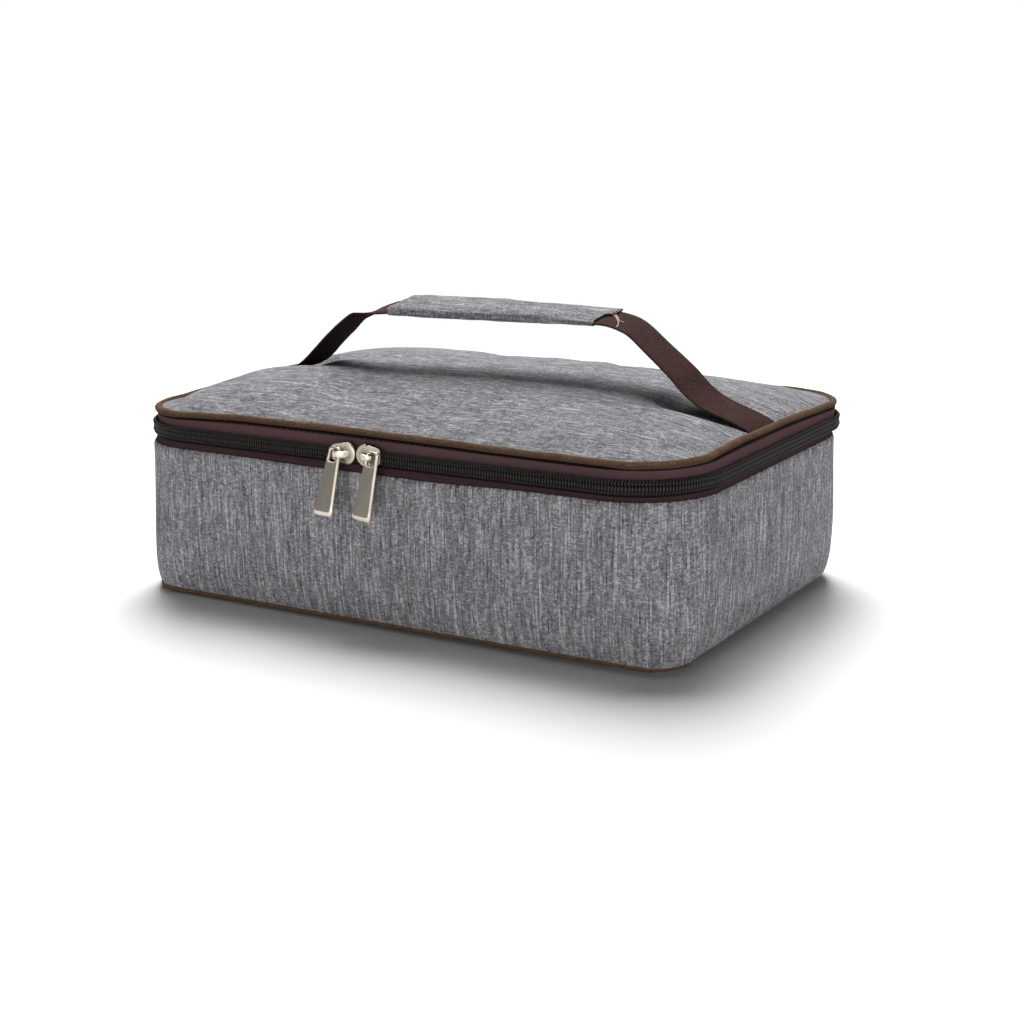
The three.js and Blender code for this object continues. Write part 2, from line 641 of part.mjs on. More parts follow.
const tub = new THREE.Group();
tub.add(
  piece('wall_cloth', wallCloth(), GREY_CLOTH),
  piece('wall_foam', wallFoam(), WHITE_FOAM),
  piece('wall_liner', wallLiner(), SILVER_FILM),
  piece('floor_cloth', floorCloth(), GREY_CLOTH),
  piece('floor_foam', floorFoam(), WHITE_FOAM),
  piece('floor_liner', floorLiner(), SILVER_FILM),
  piece('foot_piping', footPiping(), BROWN_PIPING),
  piece('rim_binding', rimBinding(), BROWN_TAPE),
  piece('lower_zip_tape', lowerTape(), BROWN_TAPE),
  piece('lower_zip_coil', coilRow(COIL_FOOT, COIL_END), BLACK_COIL),
  piece('zip_stop_left', zipStop(-1), BLACK_COIL),
  piece('zip_stop_right', zipStop(1), BLACK_COIL),
  piece('rear_hinge_strip', hingeStrip(), BROWN_TAPE),
);

const lid = new THREE.Group();
lid.add(
  piece('lid_cloth', lidCloth(), GREY_CLOTH),
  piece('lid_foam', lidFoam(), WHITE_FOAM),
  piece('lid_liner', lidLiner(), SILVER_FILM),
  piece('lid_piping', lidPiping(), BROWN_PIPING),
  piece('lid_binding', lidBinding(), BROWN_TAPE),
  piece('upper_zip_tape', upperTape(), BROWN_TAPE),
  piece('upper_zip_coil', coilRow(CHAIN_Z + CHAIN_GAP / 2, COIL_END), BLACK_COIL),
);

const grip = new THREE.Group();
grip.position.set(GRIP_SHIFT, HANDLE_Y, 0);
grip.rotation.z = GRIP_YAW;
grip.add(piece('grip_sleeve', gripSleeve(), GREY_CLOTH), piece('grip_core', gripCore(), WHITE_FOAM));
lid.add(piece('handle_webbing', webbing(), BROWN_WEBBING), grip);

// The two closed sliders meet mouth to mouth, and each pull hangs from the far end of its bridge.
function slider(name, mouth, tilt) {
  const group = new THREE.Group();
  const middle = SLIDERS_MEET - (mouth * (SLIDER_LENGTH + SLIDER_MEETING_GAP)) / 2;
  group.position.set(middle, -HALF_DEPTH, CHAIN_Z);
  const pull = piece(`pull_${name}`, pullPlate(), NICKEL);
  pull.position.x = -mouth * PIVOT_FROM_MIDDLE;
  pull.rotation.y = tilt;
  group.add(piece(`slider_${name}`, sliderBody(mouth), NICKEL), pull);
  return group;
}

const bag = new THREE.Group();
bag.add(tub, lid, slider('left', 1, PULL_TILT.left), slider('right', -1, PULL_TILT.right));

export default bag;
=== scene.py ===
"""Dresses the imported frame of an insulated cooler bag.

The tub and the domed lid are melange cloth with brown piping, a coil zip runs round three sides between
them, two nickel sliders meet at the front, and a webbing strap with a padded grip crosses the lid. Every
length is in metres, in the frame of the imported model: X along the front, front towards -Y, Z up from the
face it rests on.
"""

import json

import bmesh
import bpy
import numpy as np
from mathutils import Matrix, Vector


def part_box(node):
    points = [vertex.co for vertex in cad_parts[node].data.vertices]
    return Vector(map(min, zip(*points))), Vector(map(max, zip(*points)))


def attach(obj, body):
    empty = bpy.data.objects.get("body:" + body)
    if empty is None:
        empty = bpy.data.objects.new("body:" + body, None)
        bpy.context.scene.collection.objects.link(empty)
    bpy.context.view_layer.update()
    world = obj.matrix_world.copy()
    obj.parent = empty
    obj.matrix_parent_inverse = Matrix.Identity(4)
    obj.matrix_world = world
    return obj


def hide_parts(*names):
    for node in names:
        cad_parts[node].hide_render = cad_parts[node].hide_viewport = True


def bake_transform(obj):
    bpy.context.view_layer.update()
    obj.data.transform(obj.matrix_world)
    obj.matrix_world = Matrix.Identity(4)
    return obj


bl_info = {
    "name": "Cooler bag",
    "version": (1, 0, 0),
    "blender": (4, 5, 0),
    "location": "View3D > Sidebar > Cooler bag",
    "description": "Cloth, piping, zip, handle and lining of an insulated cooler bag",
    "category": "Object",
}

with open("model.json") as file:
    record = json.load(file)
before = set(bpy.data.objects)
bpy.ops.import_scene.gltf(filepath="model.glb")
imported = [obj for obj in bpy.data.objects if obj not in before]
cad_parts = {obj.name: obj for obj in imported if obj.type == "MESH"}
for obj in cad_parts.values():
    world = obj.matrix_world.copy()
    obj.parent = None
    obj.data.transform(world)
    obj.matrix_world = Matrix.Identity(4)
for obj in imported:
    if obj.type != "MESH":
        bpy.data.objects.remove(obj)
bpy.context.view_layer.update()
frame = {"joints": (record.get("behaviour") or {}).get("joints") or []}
JOINTS = {joint["name"]: joint for joint in frame["joints"]}
TURN = 2 * np.pi

# Fine sizes in metres, and counts, that several pieces share
CORD_IN = 0.0018  # from the foot's seam in to the middle of its cord
CORD_IN_RIGHT = 0.0008  # how much further in that is at the right
FLOOR_TUCK = 0.0006  # from the middle of the foot's cord down to the floor's edge
LAYER_EDGE = 0.0012  # from the lid's seam in to its foam and lining
TAPE_EDGE = 0.0003  # radius of a tape's edges
TAPE_POINTS = 80  # round a tape's section
CHAIN_STILL = 0.003  # how far above and below the chain its cloth stays with it
LEG_IN = 0.0025  # from a slider's tail to the bridge's leg
CORD_SIDES = 16
STRAP_SIDES = 44

# The photograph's camera: turn, height and roll in degrees, size, focal length and principal point in pixels
CAMERA_ANGLES = (31.27, 12.79, -0.57)
CAMERA_DISTANCE = 0.7753
AIM_HEIGHT = 0.0468
PHOTO_SIZE = 1024
FOCAL_LENGTH = 1744.2
PRINCIPAL_POINT = (496.3, 475.4)
SENSOR_WIDTH = 36.0

# Each lamp's place, width, height and power
LAMPS = {
    "key": ((-0.42, 0.66, 1.35), 0.9, 1.3, 43.0),
    "front_fill": ((0.25, -1.6, 0.10), 1.4, 0.2, 9.4),
    "side_fill": ((1.55, 0.1, 0.12), 1.2, 0.22, 6.8),
}


def length(name, description, default):
    """A size in metres."""
    return bpy.props.FloatProperty(
        name=name, description=description, default=default, unit="LENGTH", precision=5
    )


def number(name, description, default, unit="NONE"):
    """A plain number, or an angle in radians."""
    return bpy.props.FloatProperty(name=name, description=description, default=default, unit=unit)


def colour(name, description, default):
    """A linear colour."""
    return bpy.props.FloatVectorProperty(
        name=name, description=description, default=default, subtype="COLOR", min=0, max=1
    )


class TubSizes(bpy.types.PropertyGroup):
    """The tub's outline, its wall and the layers of wall, floor and lid."""

    half_width: length("Half width", "Middle to wall along X at the rim", 0.134)
    half_depth: length("Half depth", "Middle to wall along Y at the rim", 0.093)
    corner_radius: length("Corner radius", "Corners of the rim", 0.035)
    foot_radius: length("Foot corner radius", "Corners of the wall's foot", 0.024)
    foot_tuck: length("Foot tuck", "How far the wall's foot turns in", 0.0024)
    foot_roll: length("Foot roll", "How far the wall's last few millimetres roll in over the cord", 0.0014)
    swell: length("Swell", "How far the wall swells at half height", 0.0001)
    wall_foot: length("Wall foot", "Height of the wall's lower edge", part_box("wall_cloth")[0].z)
    shoulder: length("Shoulder", "Height where the zip tape begins behind the wall", 0.0607)
    wall_top: length("Wall top", "Height of the wall's upper edge", 0.0661)
    rim: length("Rim", "Height where foam and liner end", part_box("wall_foam")[1].z)
    cloth: length("Cloth", "Outer cloth with its coating", 0.0009)
    foam: length("Foam", "Foam in the walls and the floor", 0.005)
    liner: length("Liner", "Foil-faced film", 0.0005)
    gap: length("Layer gap", "Between sewn layers", 0.0003)
    piping: length("Piping radius", "Radius of the lid's cord", 0.0015)
    foot_cord: length("Foot cord", "Radius of the foot's cord where it shows under the wall", 0.0012)
    foot_cord_z: length("Foot cord height", "Height of the middle of the foot's cord at the left", 0.0012)
    foot_piping_inset: length("Foot piping inset", "Rim's face to the foot's seam", 0.003)
    ripple: length("Ripple", "Height of the soft waves in the wall cloth", 0.0004)
    left_corner: length("Left corner", "Extra tightening of the front left corner", 0.0029)
    right_corner: length("Right corner", "Widening of the rear right corner", 0.004)
    foot_slope: length("Foot slope", "How much the wall's foot rises from the middle to the right", 0.0008)
    rim_sag: length("Rim sag", "How far the wall's upper edge hangs along its middle", 0.0012)
    cord_rise: length("Cord rise", "How far the foot's cord is drawn up under the wall at the right", 0.0028)


class ZipSizes(bpy.types.PropertyGroup):
    """Tapes, coil and sliders."""

    chain_z: length("Chain height", "Height of the zip's centre line", 0.0730)
    bite: length("Bite", "How far the heads of each row reach between those of the other", 0.0006)
    row: length("Row", "Height of the lower row of the coil", 0.0040)
    row_upper: length("Upper row height", "Height of the upper row of the coil", 0.0026)
    thick: length("Coil thickness", "Depth of the coil", 0.0019)
    pitch: length("Pitch", "One turn of the coil", 0.00125)
    wire: length("Wire radius", "Radius of the coil's wire", 0.00032)
    tape: length("Tape", "Thickness of the tape", 0.0007)
    tape_low: length("Tape foot", "Lower edge of the lower tape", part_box("lower_zip_tape")[0].z)
    tape_top: length("Tape top", "Upper edge of the upper tape", 0.0806)
    hinge_half: length("Hinge half", "Half the cloth hinge on the rear", 0.070)
    stop: length("Stop", "Length of the end stops", 0.003)
    slider: length("Slider", "Length of a slider", 0.0115)
    slider_half: length("Slider half height", "Half height of the wide end", 0.0046)
    slider_lift: length("Slider lift", "How far the sliders ride above the centre line", 0.00045)
    meet: length("Meeting place", "X where the closed sliders meet", -0.0075)
    pull: length("Pull", "Pivot to tip of a pull", 0.0253)


class LidSizes(bpy.types.PropertyGroup):
    """The padded lid."""

    edge_z: length("Edge height", "Height of the lid's seam and of its piping", 0.0816)
    crown: length("Crown", "Rise of the padded top above its edge", 0.0117)
    power_left: number("Left power", "Flatness towards the left", 6.5)
    power_right: number("Right power", "Flatness towards the right", 2.6)
    power_rear: number("Rear power", "Flatness towards the rear left", 4.2)
    power_pressed: number("Pressed power", "Flatness at the left where the strap presses", 3.0)
    power_y: number("Crown power Y", "Flatness along Y", 3.0)
    fuller: number("Fuller", "Added flatness along Y at the rear right", 1.4)
    inset: length("Edge inset", "Rim's face to the lid's seam", 0.0046)
    piping_inset: length("Piping inset", "Rim's face to the middle of the lid piping", 0.0028)
    tighten: length("Corner tightening", "How much tighter the lid's corners are than the rim's", 0.0032)
    rear_droop: length("Rear droop", "How far the slack lid hangs at the rear, towards the right", 0.0019)
    left_droop: length("Left droop", "How far the slack lid hangs at the front left corner", 0.00175)
    front_droop: length("Front droop", "How far the slack lid hangs at the front right corner", 0.0012)
    foam: length("Lid foam", "Foam in the lid", 0.0045)
    pressure: number("Pressure", "Filling pressure", 4.0)
    give: length("Give", "The furthest that a point of the lid settles", 0.0022)


class HandleSizes(bpy.types.PropertyGroup):
    """Strap and grip."""

    y: length("Handle Y", "Middle of the strap along Y", JOINTS["handle_swing"]["pos_m"][1])
    width: length("Strap width", "Width of the webbing", 0.026)
    folded: length("Folded width", "Width of the webbing under the sleeve", 0.0234)
    thick: length("Strap thickness", "Thickness of the webbing", 0.0011)
    grip: length("Grip", "Length of the sleeve", 0.097)
    shift: length("Grip shift", "Middle of the grip along X", 0.006)
    slant: number("Fold slant", "How far the left strap's fold runs aslant", 0.45)
    yaw: number("Grip yaw", "Turn of the slack grip about Z", 0.11, "ROTATION")
    sleeve_half: length("Sleeve half width", "Half the sleeve's width", 0.0129)


class Finishes(bpy.types.PropertyGroup):
    """Colours of the cloth and the trim."""

    yarn_dark: colour("Dark yarn", "Darkest yarn of the melange", (0.066, 0.066, 0.072))
    yarn_mid: colour("Middle yarn", "Middle tone of the melange", (0.212, 0.210, 0.221))
    yarn_light: colour("Light yarn", "Lightest yarn of the melange", (0.520, 0.515, 0.535))
    piping: colour("Piping", "Brown cord", (0.124, 0.076, 0.048))
    tape: colour("Zip tape", "Maroon-brown tape", (0.068, 0.038, 0.041))
    webbing: colour("Webbing", "Dark brown strap", (0.046, 0.0235, 0.0212))
    coil: colour("Coil", "Black nylon", (0.026, 0.024, 0.022))
    # The nickel face colour is dark as a painted reflection of dark surroundings; the nickel edge colour is
    # the pale metal, laid on edges, sliders and the pulls' tips partly as painted highlight.
    nickel: colour("Nickel", "Face of the pulls", (0.190, 0.177, 0.145))
    nickel_edge: colour("Nickel edge", "Polished edges and sliders", (0.86, 0.75, 0.62))
    film: colour("Film", "Foil lining", (0.36, 0.37, 0.38))
    foam: colour("Foam", "White foam", (0.82, 0.80, 0.75))
    coil_thread: colour("Coil thread", "Thread that sews the coil", (0.021, 0.0165, 0.0160))
    thread: colour("Thread", "Pale thread at the grip", (0.72, 0.60, 0.58))
    floor: colour("Floor", "Studio floor", (0.97, 0.97, 0.97))


GROUPS = {
    "bag_tub": TubSizes,
    "bag_zip": ZipSizes,
    "bag_lid": LidSizes,
    "bag_handle": HandleSizes,
    "bag_finish": Finishes,
}


def of(group):
    """The scene's own copy of a property group."""
    return getattr(bpy.context.scene, group)


# Shapes that follow the bag's outline


def circle(count):
    """Angles at even steps round a full turn."""
    return np.linspace(0, TURN, count, endpoint=False)


def unit(vectors):
    """Vectors brought to length one."""
    return vectors / np.linalg.norm(vectors, axis=-1, keepdims=True)


def grid(*coordinates):
    """Points from coordinates that are spread over one grid."""
    return np.stack(np.broadcast_arrays(*coordinates), axis=-1)


def there_and_back(values):
    """A row of values followed by the same row in reverse."""
    return np.concatenate([values, values[::-1]])


def oblong(near, far, low, high):
    """Corners of an upright section."""
    return [(near, low), (near, high), (far, high), (far, low)]


def outline_breaks():
    """Arc lengths along the rim, from the middle of the rear, where sides and corners meet."""
    tub = of("bag_tub")
    side_x = tub.half_width - tub.corner_radius
    side_y = tub.half_depth - tub.corner_radius
    bend = tub.corner_radius * np.pi / 2
    return np.cumsum([0, side_x, bend, 2 * side_y, bend, 2 * side_x, bend, 2 * side_y, bend, side_x])


def walk(s):
    """Place on the outline at arc length s, counter-clockwise from the middle of the rear: two shares of
    the rectangle between the corner centres, and the angle of the normal. All are straight lines between
    breaks."""
    breaks = outline_breaks()
    a = np.interp(s, breaks, [0, -1, -1, -1, -1, 1, 1, 1, 1, 0])
    b = np.interp(s, breaks, [1, 1, 1, -1, -1, -1, -1, 1, 1, 1])
    angle = np.interp(s, breaks, np.radians([90, 90, 180, 180, 270, 270, 360, 360, 450, 450]))
    return a, b, angle


def around(s, inset, z, tighten=0.0):
    """Points of the outline taken in by inset, its corners tightened: the place in the inner rectangle
    plus the corner radius along the normal."""
    tub = of("bag_tub")
    a, b, angle = walk(s)
    radius = tub.corner_radius - inset - tighten
    x = a * (tub.half_width - inset - radius) + radius * np.cos(angle)
    y = b * (tub.half_depth - inset - radius) + radius * np.sin(angle)
    return grid(x, y, z)


def full_turn(step):
    """Arc lengths round the whole bag, about one step apart, as a column."""
    total = outline_breaks()[-1]
    return np.linspace(0, total, int(total / step), endpoint=False)[:, None]


def as_angle(s):
    """Arc length s as an angle that makes one turn round the bag."""
    return TURN * s / outline_breaks()[-1]


def open_run(start, step):
    """Arc lengths round the sides and the front, from start past the middle of the rear, as a column."""
    total = outline_breaks()[-1]
    return np.linspace(start, total - start, int((total - 2 * start) / step))[:, None]


def foot_tighten():
    """How much tighter the corners are at the wall's foot than at its rim."""
    tub = of("bag_tub")
    return tub.corner_radius - tub.foot_tuck - tub.foot_radius


def corner_tighten(s, tighten):
    """The tightening of the corners at arc length s: most at the front right and least at the rear
    right. The front left corner stands out and the rear right one is drawn in, each by a length of its
    own. It runs evenly along the sides."""
    tub, breaks = of("bag_tub"), outline_breaks()
    share = np.interp(s, breaks, [1, 1, 1, 1, 1, 1.8, 1.8, 0.6, 0.6, 1])
    front_left = np.interp(s, breaks, [0, 0, 0, 1, 1, 0, 0, 0, 0, 0])
    rear_right = np.interp(s, breaks, [0, 0, 0, 0, 0, 0, 0, 1, 1, 0])
    return tighten * share + tub.left_corner * front_left - tub.right_corner * rear_right


def wall_shift(x, share):
    """How far the wall moves in height at x: its foot slopes with x, and its upper edge hangs along the
    middle, less towards both sides by smooth steps in x."""
    tub = of("bag_tub")
    foot = tub.foot_slope * (x / tub.half_width - 0.5) * (1 - share) ** 2
    right, left = smoothstep(x, 0.02, 0.075), smoothstep(-x, 0.03, 0.08)
    return foot - tub.rim_sag * (1 - right - 0.4 * left) * smoothstep(share, 0.8, 1)


def foot_seam(s):
    """Height and inset of the middle of the foot's cord at arc length s: low along the left and the
    front, and drawn up under the wall along the right. Both are straight lines between the outline's
    breaks."""
    tub = of("bag_tub")
    rise = np.interp(s, outline_breaks(), [0.4, 0.2, 0, 0, 0, 0.55, 0.8, 1, 0.9, 0.4])
    return tub.foot_cord_z + tub.cord_rise * rise, tub.foot_piping_inset + CORD_IN + CORD_IN_RIGHT * rise


def wall_inset(z):
    """Inset and corner tightening of the wall at height z: the foot turns in with the fourth power of
    the height that is left and rolls in with a high power of it, the corners tighten with a lower power,
    and the wall swells as half a sine."""
    tub = of("bag_tub")
    share = np.clip((z - tub.wall_foot) / (tub.shoulder - tub.wall_foot), 0, 1)
    left = 1 - share
    inset = tub.foot_tuck * left**4 + tub.foot_roll * left**14 - tub.swell * np.sin(np.pi * share)
    return inset, foot_tighten() * left**1.6, share


def rounded(corners, radius, count):
    """Points at even steps along a closed polygon whose corners are arcs: each arc touches both its
    sides at the radius times the cotangent of half the corner's angle."""
    corners = np.asarray(corners, float)
    radii = np.broadcast_to(radius, len(corners))
    to_last = unit(np.roll(corners, 1, 0) - corners)
    to_next = unit(np.roll(corners, -1, 0) - corners)
    half = np.arccos(np.clip((to_last * to_next).sum(1), -1, 1)) / 2
    middle = unit(to_last + to_next)
    centre = corners + middle * (radii / np.sin(half))[:, None]
    first = corners + to_last * (radii / np.tan(half))[:, None] - centre
    last = corners + to_next * (radii / np.tan(half))[:, None] - centre
    share = np.linspace(0, 1, 9)[None, :, None]
    arc = first[:, None] * (1 - share) + last[:, None] * share
    arc *= radii[:, None, None] / np.linalg.norm(arc, axis=2, keepdims=True)
    return even((centre[:, None] + arc).reshape(-1, 2), count)


def even(line, count):
    """Points at even steps along a closed polyline, by interpolation on its arc length."""
    closed = np.vstack([line, line[:1]])
    run = np.concatenate([[0], np.cumsum(np.linalg.norm(np.diff(closed, axis=0), axis=1))])
    at = np.linspace(0, run[-1], count, endpoint=False)
    return np.stack([np.interp(at, run, closed[:, k]) for k in range(2)], -1)


def inward(outline, distance):
    """A closed outline moved towards its inside along its normals, whichever way it runs."""
    ahead = np.roll(outline, -1, 0) - np.roll(outline, 1, 0)
    normal = unit(np.stack([-ahead[:, 1], ahead[:, 0]], -1))
    x, y = outline.T
    area = (x * np.roll(y, -1) - np.roll(x, -1) * y).sum()
    return outline + np.sign(area) * distance * normal


def capped(points):
    """Adds the middle of the first and of the last row as closing poles."""
    first = np.broadcast_to(points[:1].mean(1, keepdims=True), points[:1].shape)
    last = np.broadcast_to(points[-1:].mean(1, keepdims=True), points[-1:].shape)
    return np.concatenate([first, points, last])


def tube(path, radius, sides=6):
    """A round tube along a path: at each point a circle in the plane of two directions across the tangent."""
    path = np.asarray(path, float)
    ahead = unit(np.gradient(path, axis=0))
    aslant = np.array([0.13, 0.21, 0.97])
    side = unit(np.cross(ahead, aslant))
    over = np.cross(side, ahead)
    angle = circle(sides)
    radius = np.broadcast_to(radius, len(path))[:, None, None]
    ring = np.cos(angle)[:, None] * side[:, None] + np.sin(angle)[:, None] * over[:, None]
    return capped(path[:, None] + radius * ring)


def smoothstep(value, low, high):
    """0 below low, 1 above high and a cubic between."""
    share = np.clip((value - low) / (high - low), 0, 1)
    return share * share * (3 - 2 * share)


def soft_power(value, power):
    """The sign of a value times a power of its size, for superellipses."""
    return np.sign(value) * np.abs(value) ** power


# Meshes


def metres(points):
    """A pattern's coordinates in metres: the mean lengths along the two directions of a grid."""
    def run(axis):
        steps = np.linalg.norm(np.diff(points, axis=axis), axis=-1).mean(axis=1 - axis)
        return np.concatenate([[0], np.cumsum(steps)])
    u, v = run(0), run(1)
    return np.stack(np.meshgrid(u, v, indexing="ij"), -1)


def closed_up(points, wrap):
    """A grid with its first row and column repeated at the end, in the directions that close on
    themselves."""
    for axis, closes in enumerate(wrap):
        if closes:
            points = np.concatenate([points, points.take([0], axis)], axis)
    return points


def patch(points, wrap=(False, True), uv=None, accent=0.0):
    """One grid of points, or a stack of like grids, with the directions that close on themselves, its
    pattern coordinates, one row and column longer where it closes, and the accent of its points: polished
    metal and painted highlight on metal, gathers in the bump and as painted light and shade on cloth, and
    painted shade and light on cords, straps, tapes and coil."""
    points = np.asarray(points, float)
    stack = points if points.ndim == 4 else points[None]
    count, n, m, _ = stack.shape
    if uv is None:
        uv = metres(closed_up(stack[0], wrap))
    i, j = np.meshgrid(np.arange(n - (not wrap[0])), np.arange(m - (not wrap[1])), indexing="ij")
    corners = [(i, j), (i + 1, j), (i + 1, j + 1), (i, j + 1)]
    quads = np.stack([(p % n) * m + q % m for p, q in corners], -1).reshape(-1, 4)
    places = np.stack([p * uv.shape[1] + q for p, q in corners], -1).reshape(-1)
    loops = np.tile(uv.reshape(-1, 2)[places], (count, 1))
    faces = (np.arange(count)[:, None, None] * n * m + quads).reshape(-1, 4)
    accents = np.broadcast_to(accent, (count, n, m)).reshape(-1)
    return stack.reshape(-1, 3), faces, loops, accents


def facing_out(points, faces, loops):
    """Turns the faces of a closed surface round if its signed volume is negative."""
    p = points[faces]
    volume = np.einsum("ij,ij->i", p[:, 0], np.cross(p[:, 1], p[:, 2]) + np.cross(p[:, 2], p[:, 3])).sum()
    if volume >= 0:
        return faces, loops
    return faces[:, ::-1], loops.reshape(-1, 4, 2)[:, ::-1].reshape(-1, 2)


def sew(name, patches, material, weld=False, closed=True):
    """A mesh object from patches, smooth, with its pattern coordinates and its accent."""
    points, faces, loops, accents, start = [], [], [], [], 0
    for p, f, l, a in patches:
        if closed:
            f, l = facing_out(p, f, l)
        points.append(p)
        faces.append(f + start)
        loops.append(l)
        accents.append(a)
        start += len(p)
    mesh = bpy.data.meshes.new(name)
    mesh.from_pydata(np.concatenate(points), [], np.concatenate(faces).tolist())
    mesh.uv_layers.new(name="weave").data.foreach_set("uv", np.concatenate(loops).astype(np.float32).ravel())
    accent = mesh.attributes.new("accent", "FLOAT", "POINT")
    accent.data.foreach_set("value", np.concatenate(accents).astype(np.float32))
    if weld:
        work = bmesh.new()
        work.from_mesh(mesh)
        bmesh.ops.remove_doubles(work, verts=work.verts, dist=1e-7)
        work.to_mesh(mesh)
        work.free()
    mesh.polygons.foreach_set("use_smooth", np.ones(len(mesh.polygons), bool))
    mesh.validate()
    mesh.update()
    obj = bpy.data.objects.new(name, mesh)
    bpy.context.scene.collection.objects.link(obj)
    mesh.materials.append(material)
    return obj


def band(name, points, material, accent=0.0):
    """A piece that closes along the outline and round its section."""
    return sew(name, [patch(points, (True, True), accent=accent)], material)


def panel(name, points, material):
    """A piece that closes along the outline and shrinks to the middle on both faces, with its streaks
    along X."""
    return sew(name, [patch(points, (True, False), on_xy(points))], material, weld=True)


def rod(name, points, material, accent=0.0):
    """A piece that closes round its section, with both its ends drawn together."""
    return sew(name, [patch(points, accent=accent)], material, weld=True)


def on_xy(points):
    """Pattern coordinates of a panel seen from above, with the streaks along X."""
    return closed_up(points, (True, False))[..., 1::-1]


def fit(obj, body, slot, *nodes):
    """Rides a piece on a body, in place of its CAD nodes. Its slot is not used."""
    if body:
        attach(obj, body)
    if nodes:
        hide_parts(*nodes)
    return obj


# Materials


class Wire:
    """One output socket. Arithmetic on it adds Math nodes to its tree."""

    def __init__(self, tree, socket):
        self.tree = tree
        self.socket = socket

    def node(self, kind, settings=None, inputs=None, output=0):
        """Adds a node of a kind: its settings first, then the values or links of its sockets."""
        made = self.tree.nodes.new(kind)
        for key, value in (settings or {}).items():
            if key == "stops":
                while len(made.color_ramp.elements) < len(value):
                    made.color_ramp.elements.new(0.5)
                for element, (place, shade) in zip(made.color_ramp.elements, value):
                    element.position = place
                    element.color = (*shade, 1)
            else:
                setattr(made, key, value)
        for key, value in (inputs or {}).items():
            if isinstance(value, Wire):
                self.tree.links.new(value.socket, made.inputs[key])
            else:
                made.inputs[key].default_value = value
        return Wire(self.tree, made.outputs[output])

    def other(self, output):
        return Wire(self.tree, self.socket.node.outputs[output])

    def math(self, operation, *values):
        return self.node("ShaderNodeMath", {"operation": operation}, dict(enumerate(values)))

    def __add__(self, other):
        return self.math("ADD", self, other)

    def __sub__(self, other):
        return self.math("SUBTRACT", self, other)

    def __rsub__(self, other):
        return self.math("SUBTRACT", other, self)

    def __mul__(self, other):
        return self.math("MULTIPLY", self, other)

    def __truediv__(self, other):
        return self.math("DIVIDE", self, other)

    def __pow__(self, other):
        return self.math("POWER", self, other)

    __radd__ = __add__
    __rmul__ = __mul__


def sine(wire):
    """The sine of a value."""
    return wire.math("SINE", wire)


def size_of(wire):
    """A value without its sign."""
    return wire.math("ABSOLUTE", wire)


def whole(wire):
    """The whole number below a value."""
    return wire.math("FLOOR", wire)


def accent_of(wire):
    """The accent of the piece's points."""
    return wire.node("ShaderNodeAttribute", {"attribute_name": "accent"}, None, 2)


def step_between(wire, low, high):
    """0 below low, 1 above high and a smooth step between."""
    return wire.node(
        "ShaderNodeMapRange", {"interpolation_type": "SMOOTHSTEP"}, {"Value": wire, 1: low, 2: high}
    )


def mixed(factor, low, high):
    """A colour between two, by a value. Each colour is a wire or three numbers."""
    ends = [end if isinstance(end, Wire) else (*end, 1) for end in (low, high)]
    return factor.node("ShaderNodeMix", {"data_type": "RGBA"}, {0: factor, 6: ends[0], 7: ends[1]}, 2)


def cloud(u, v, size_u, size_v, detail=2.0, rough=0.5, shift=0.0):
    """Noise with its own size along each direction of the pattern, about 0.5 on average."""
    place = u.node("ShaderNodeCombineXYZ", None, {0: u / size_u + shift, 1: v / size_v + 2 * shift})
    return u.node(
        "ShaderNodeTexNoise",
        {"noise_dimensions": "2D"},
        {"Vector": place, "Scale": 1.0, "Detail": detail, "Roughness": rough},
    )


def finish_for(name, **values):
    """A new material, its shader with plain values set, and wires of the pattern coordinates."""
    material = bpy.data.materials.new(name)
    material.use_nodes = True
    tree = material.node_tree
    shader = tree.nodes["Principled BSDF"]
    for key, value in values.items():
        shader.inputs[key.replace("_", " ").title().replace("Ior", "IOR")].default_value = value
    source = tree.nodes.new("ShaderNodeUVMap")
    source.uv_map = "weave"
    split = tree.nodes.new("ShaderNodeSeparateXYZ")
    tree.links.new(source.outputs[0], split.inputs[0])
    return material, shader, Wire(tree, split.outputs[0]), Wire(tree, split.outputs[1])


def join(shader, **wires):
    """Links wires to the shader's sockets."""
    for key, wire in wires.items():
        wire.tree.links.new(wire.socket, shader.inputs[key.replace("_", " ").title()])


def raised(height, strength, distance):
    """A bump from a height, for the shader's normal."""
    return height.node(
        "ShaderNodeBump", None, {"Strength": strength, "Distance": distance, "Height": height}
    )


def toned(shade, share):
    """A colour made darker or paler by a share, at most white."""
    return tuple(min(1, c * share) for c in shade)


def made_once(make):
    """Wraps a function that makes a material: its first call makes it, and later calls find it by its
    name, which is the function's own where none is given."""

    def found_or_made(name=make.__name__, *values, **named):
        return bpy.data.materials.get(name) or make(name, *values, **named)

    return found_or_made


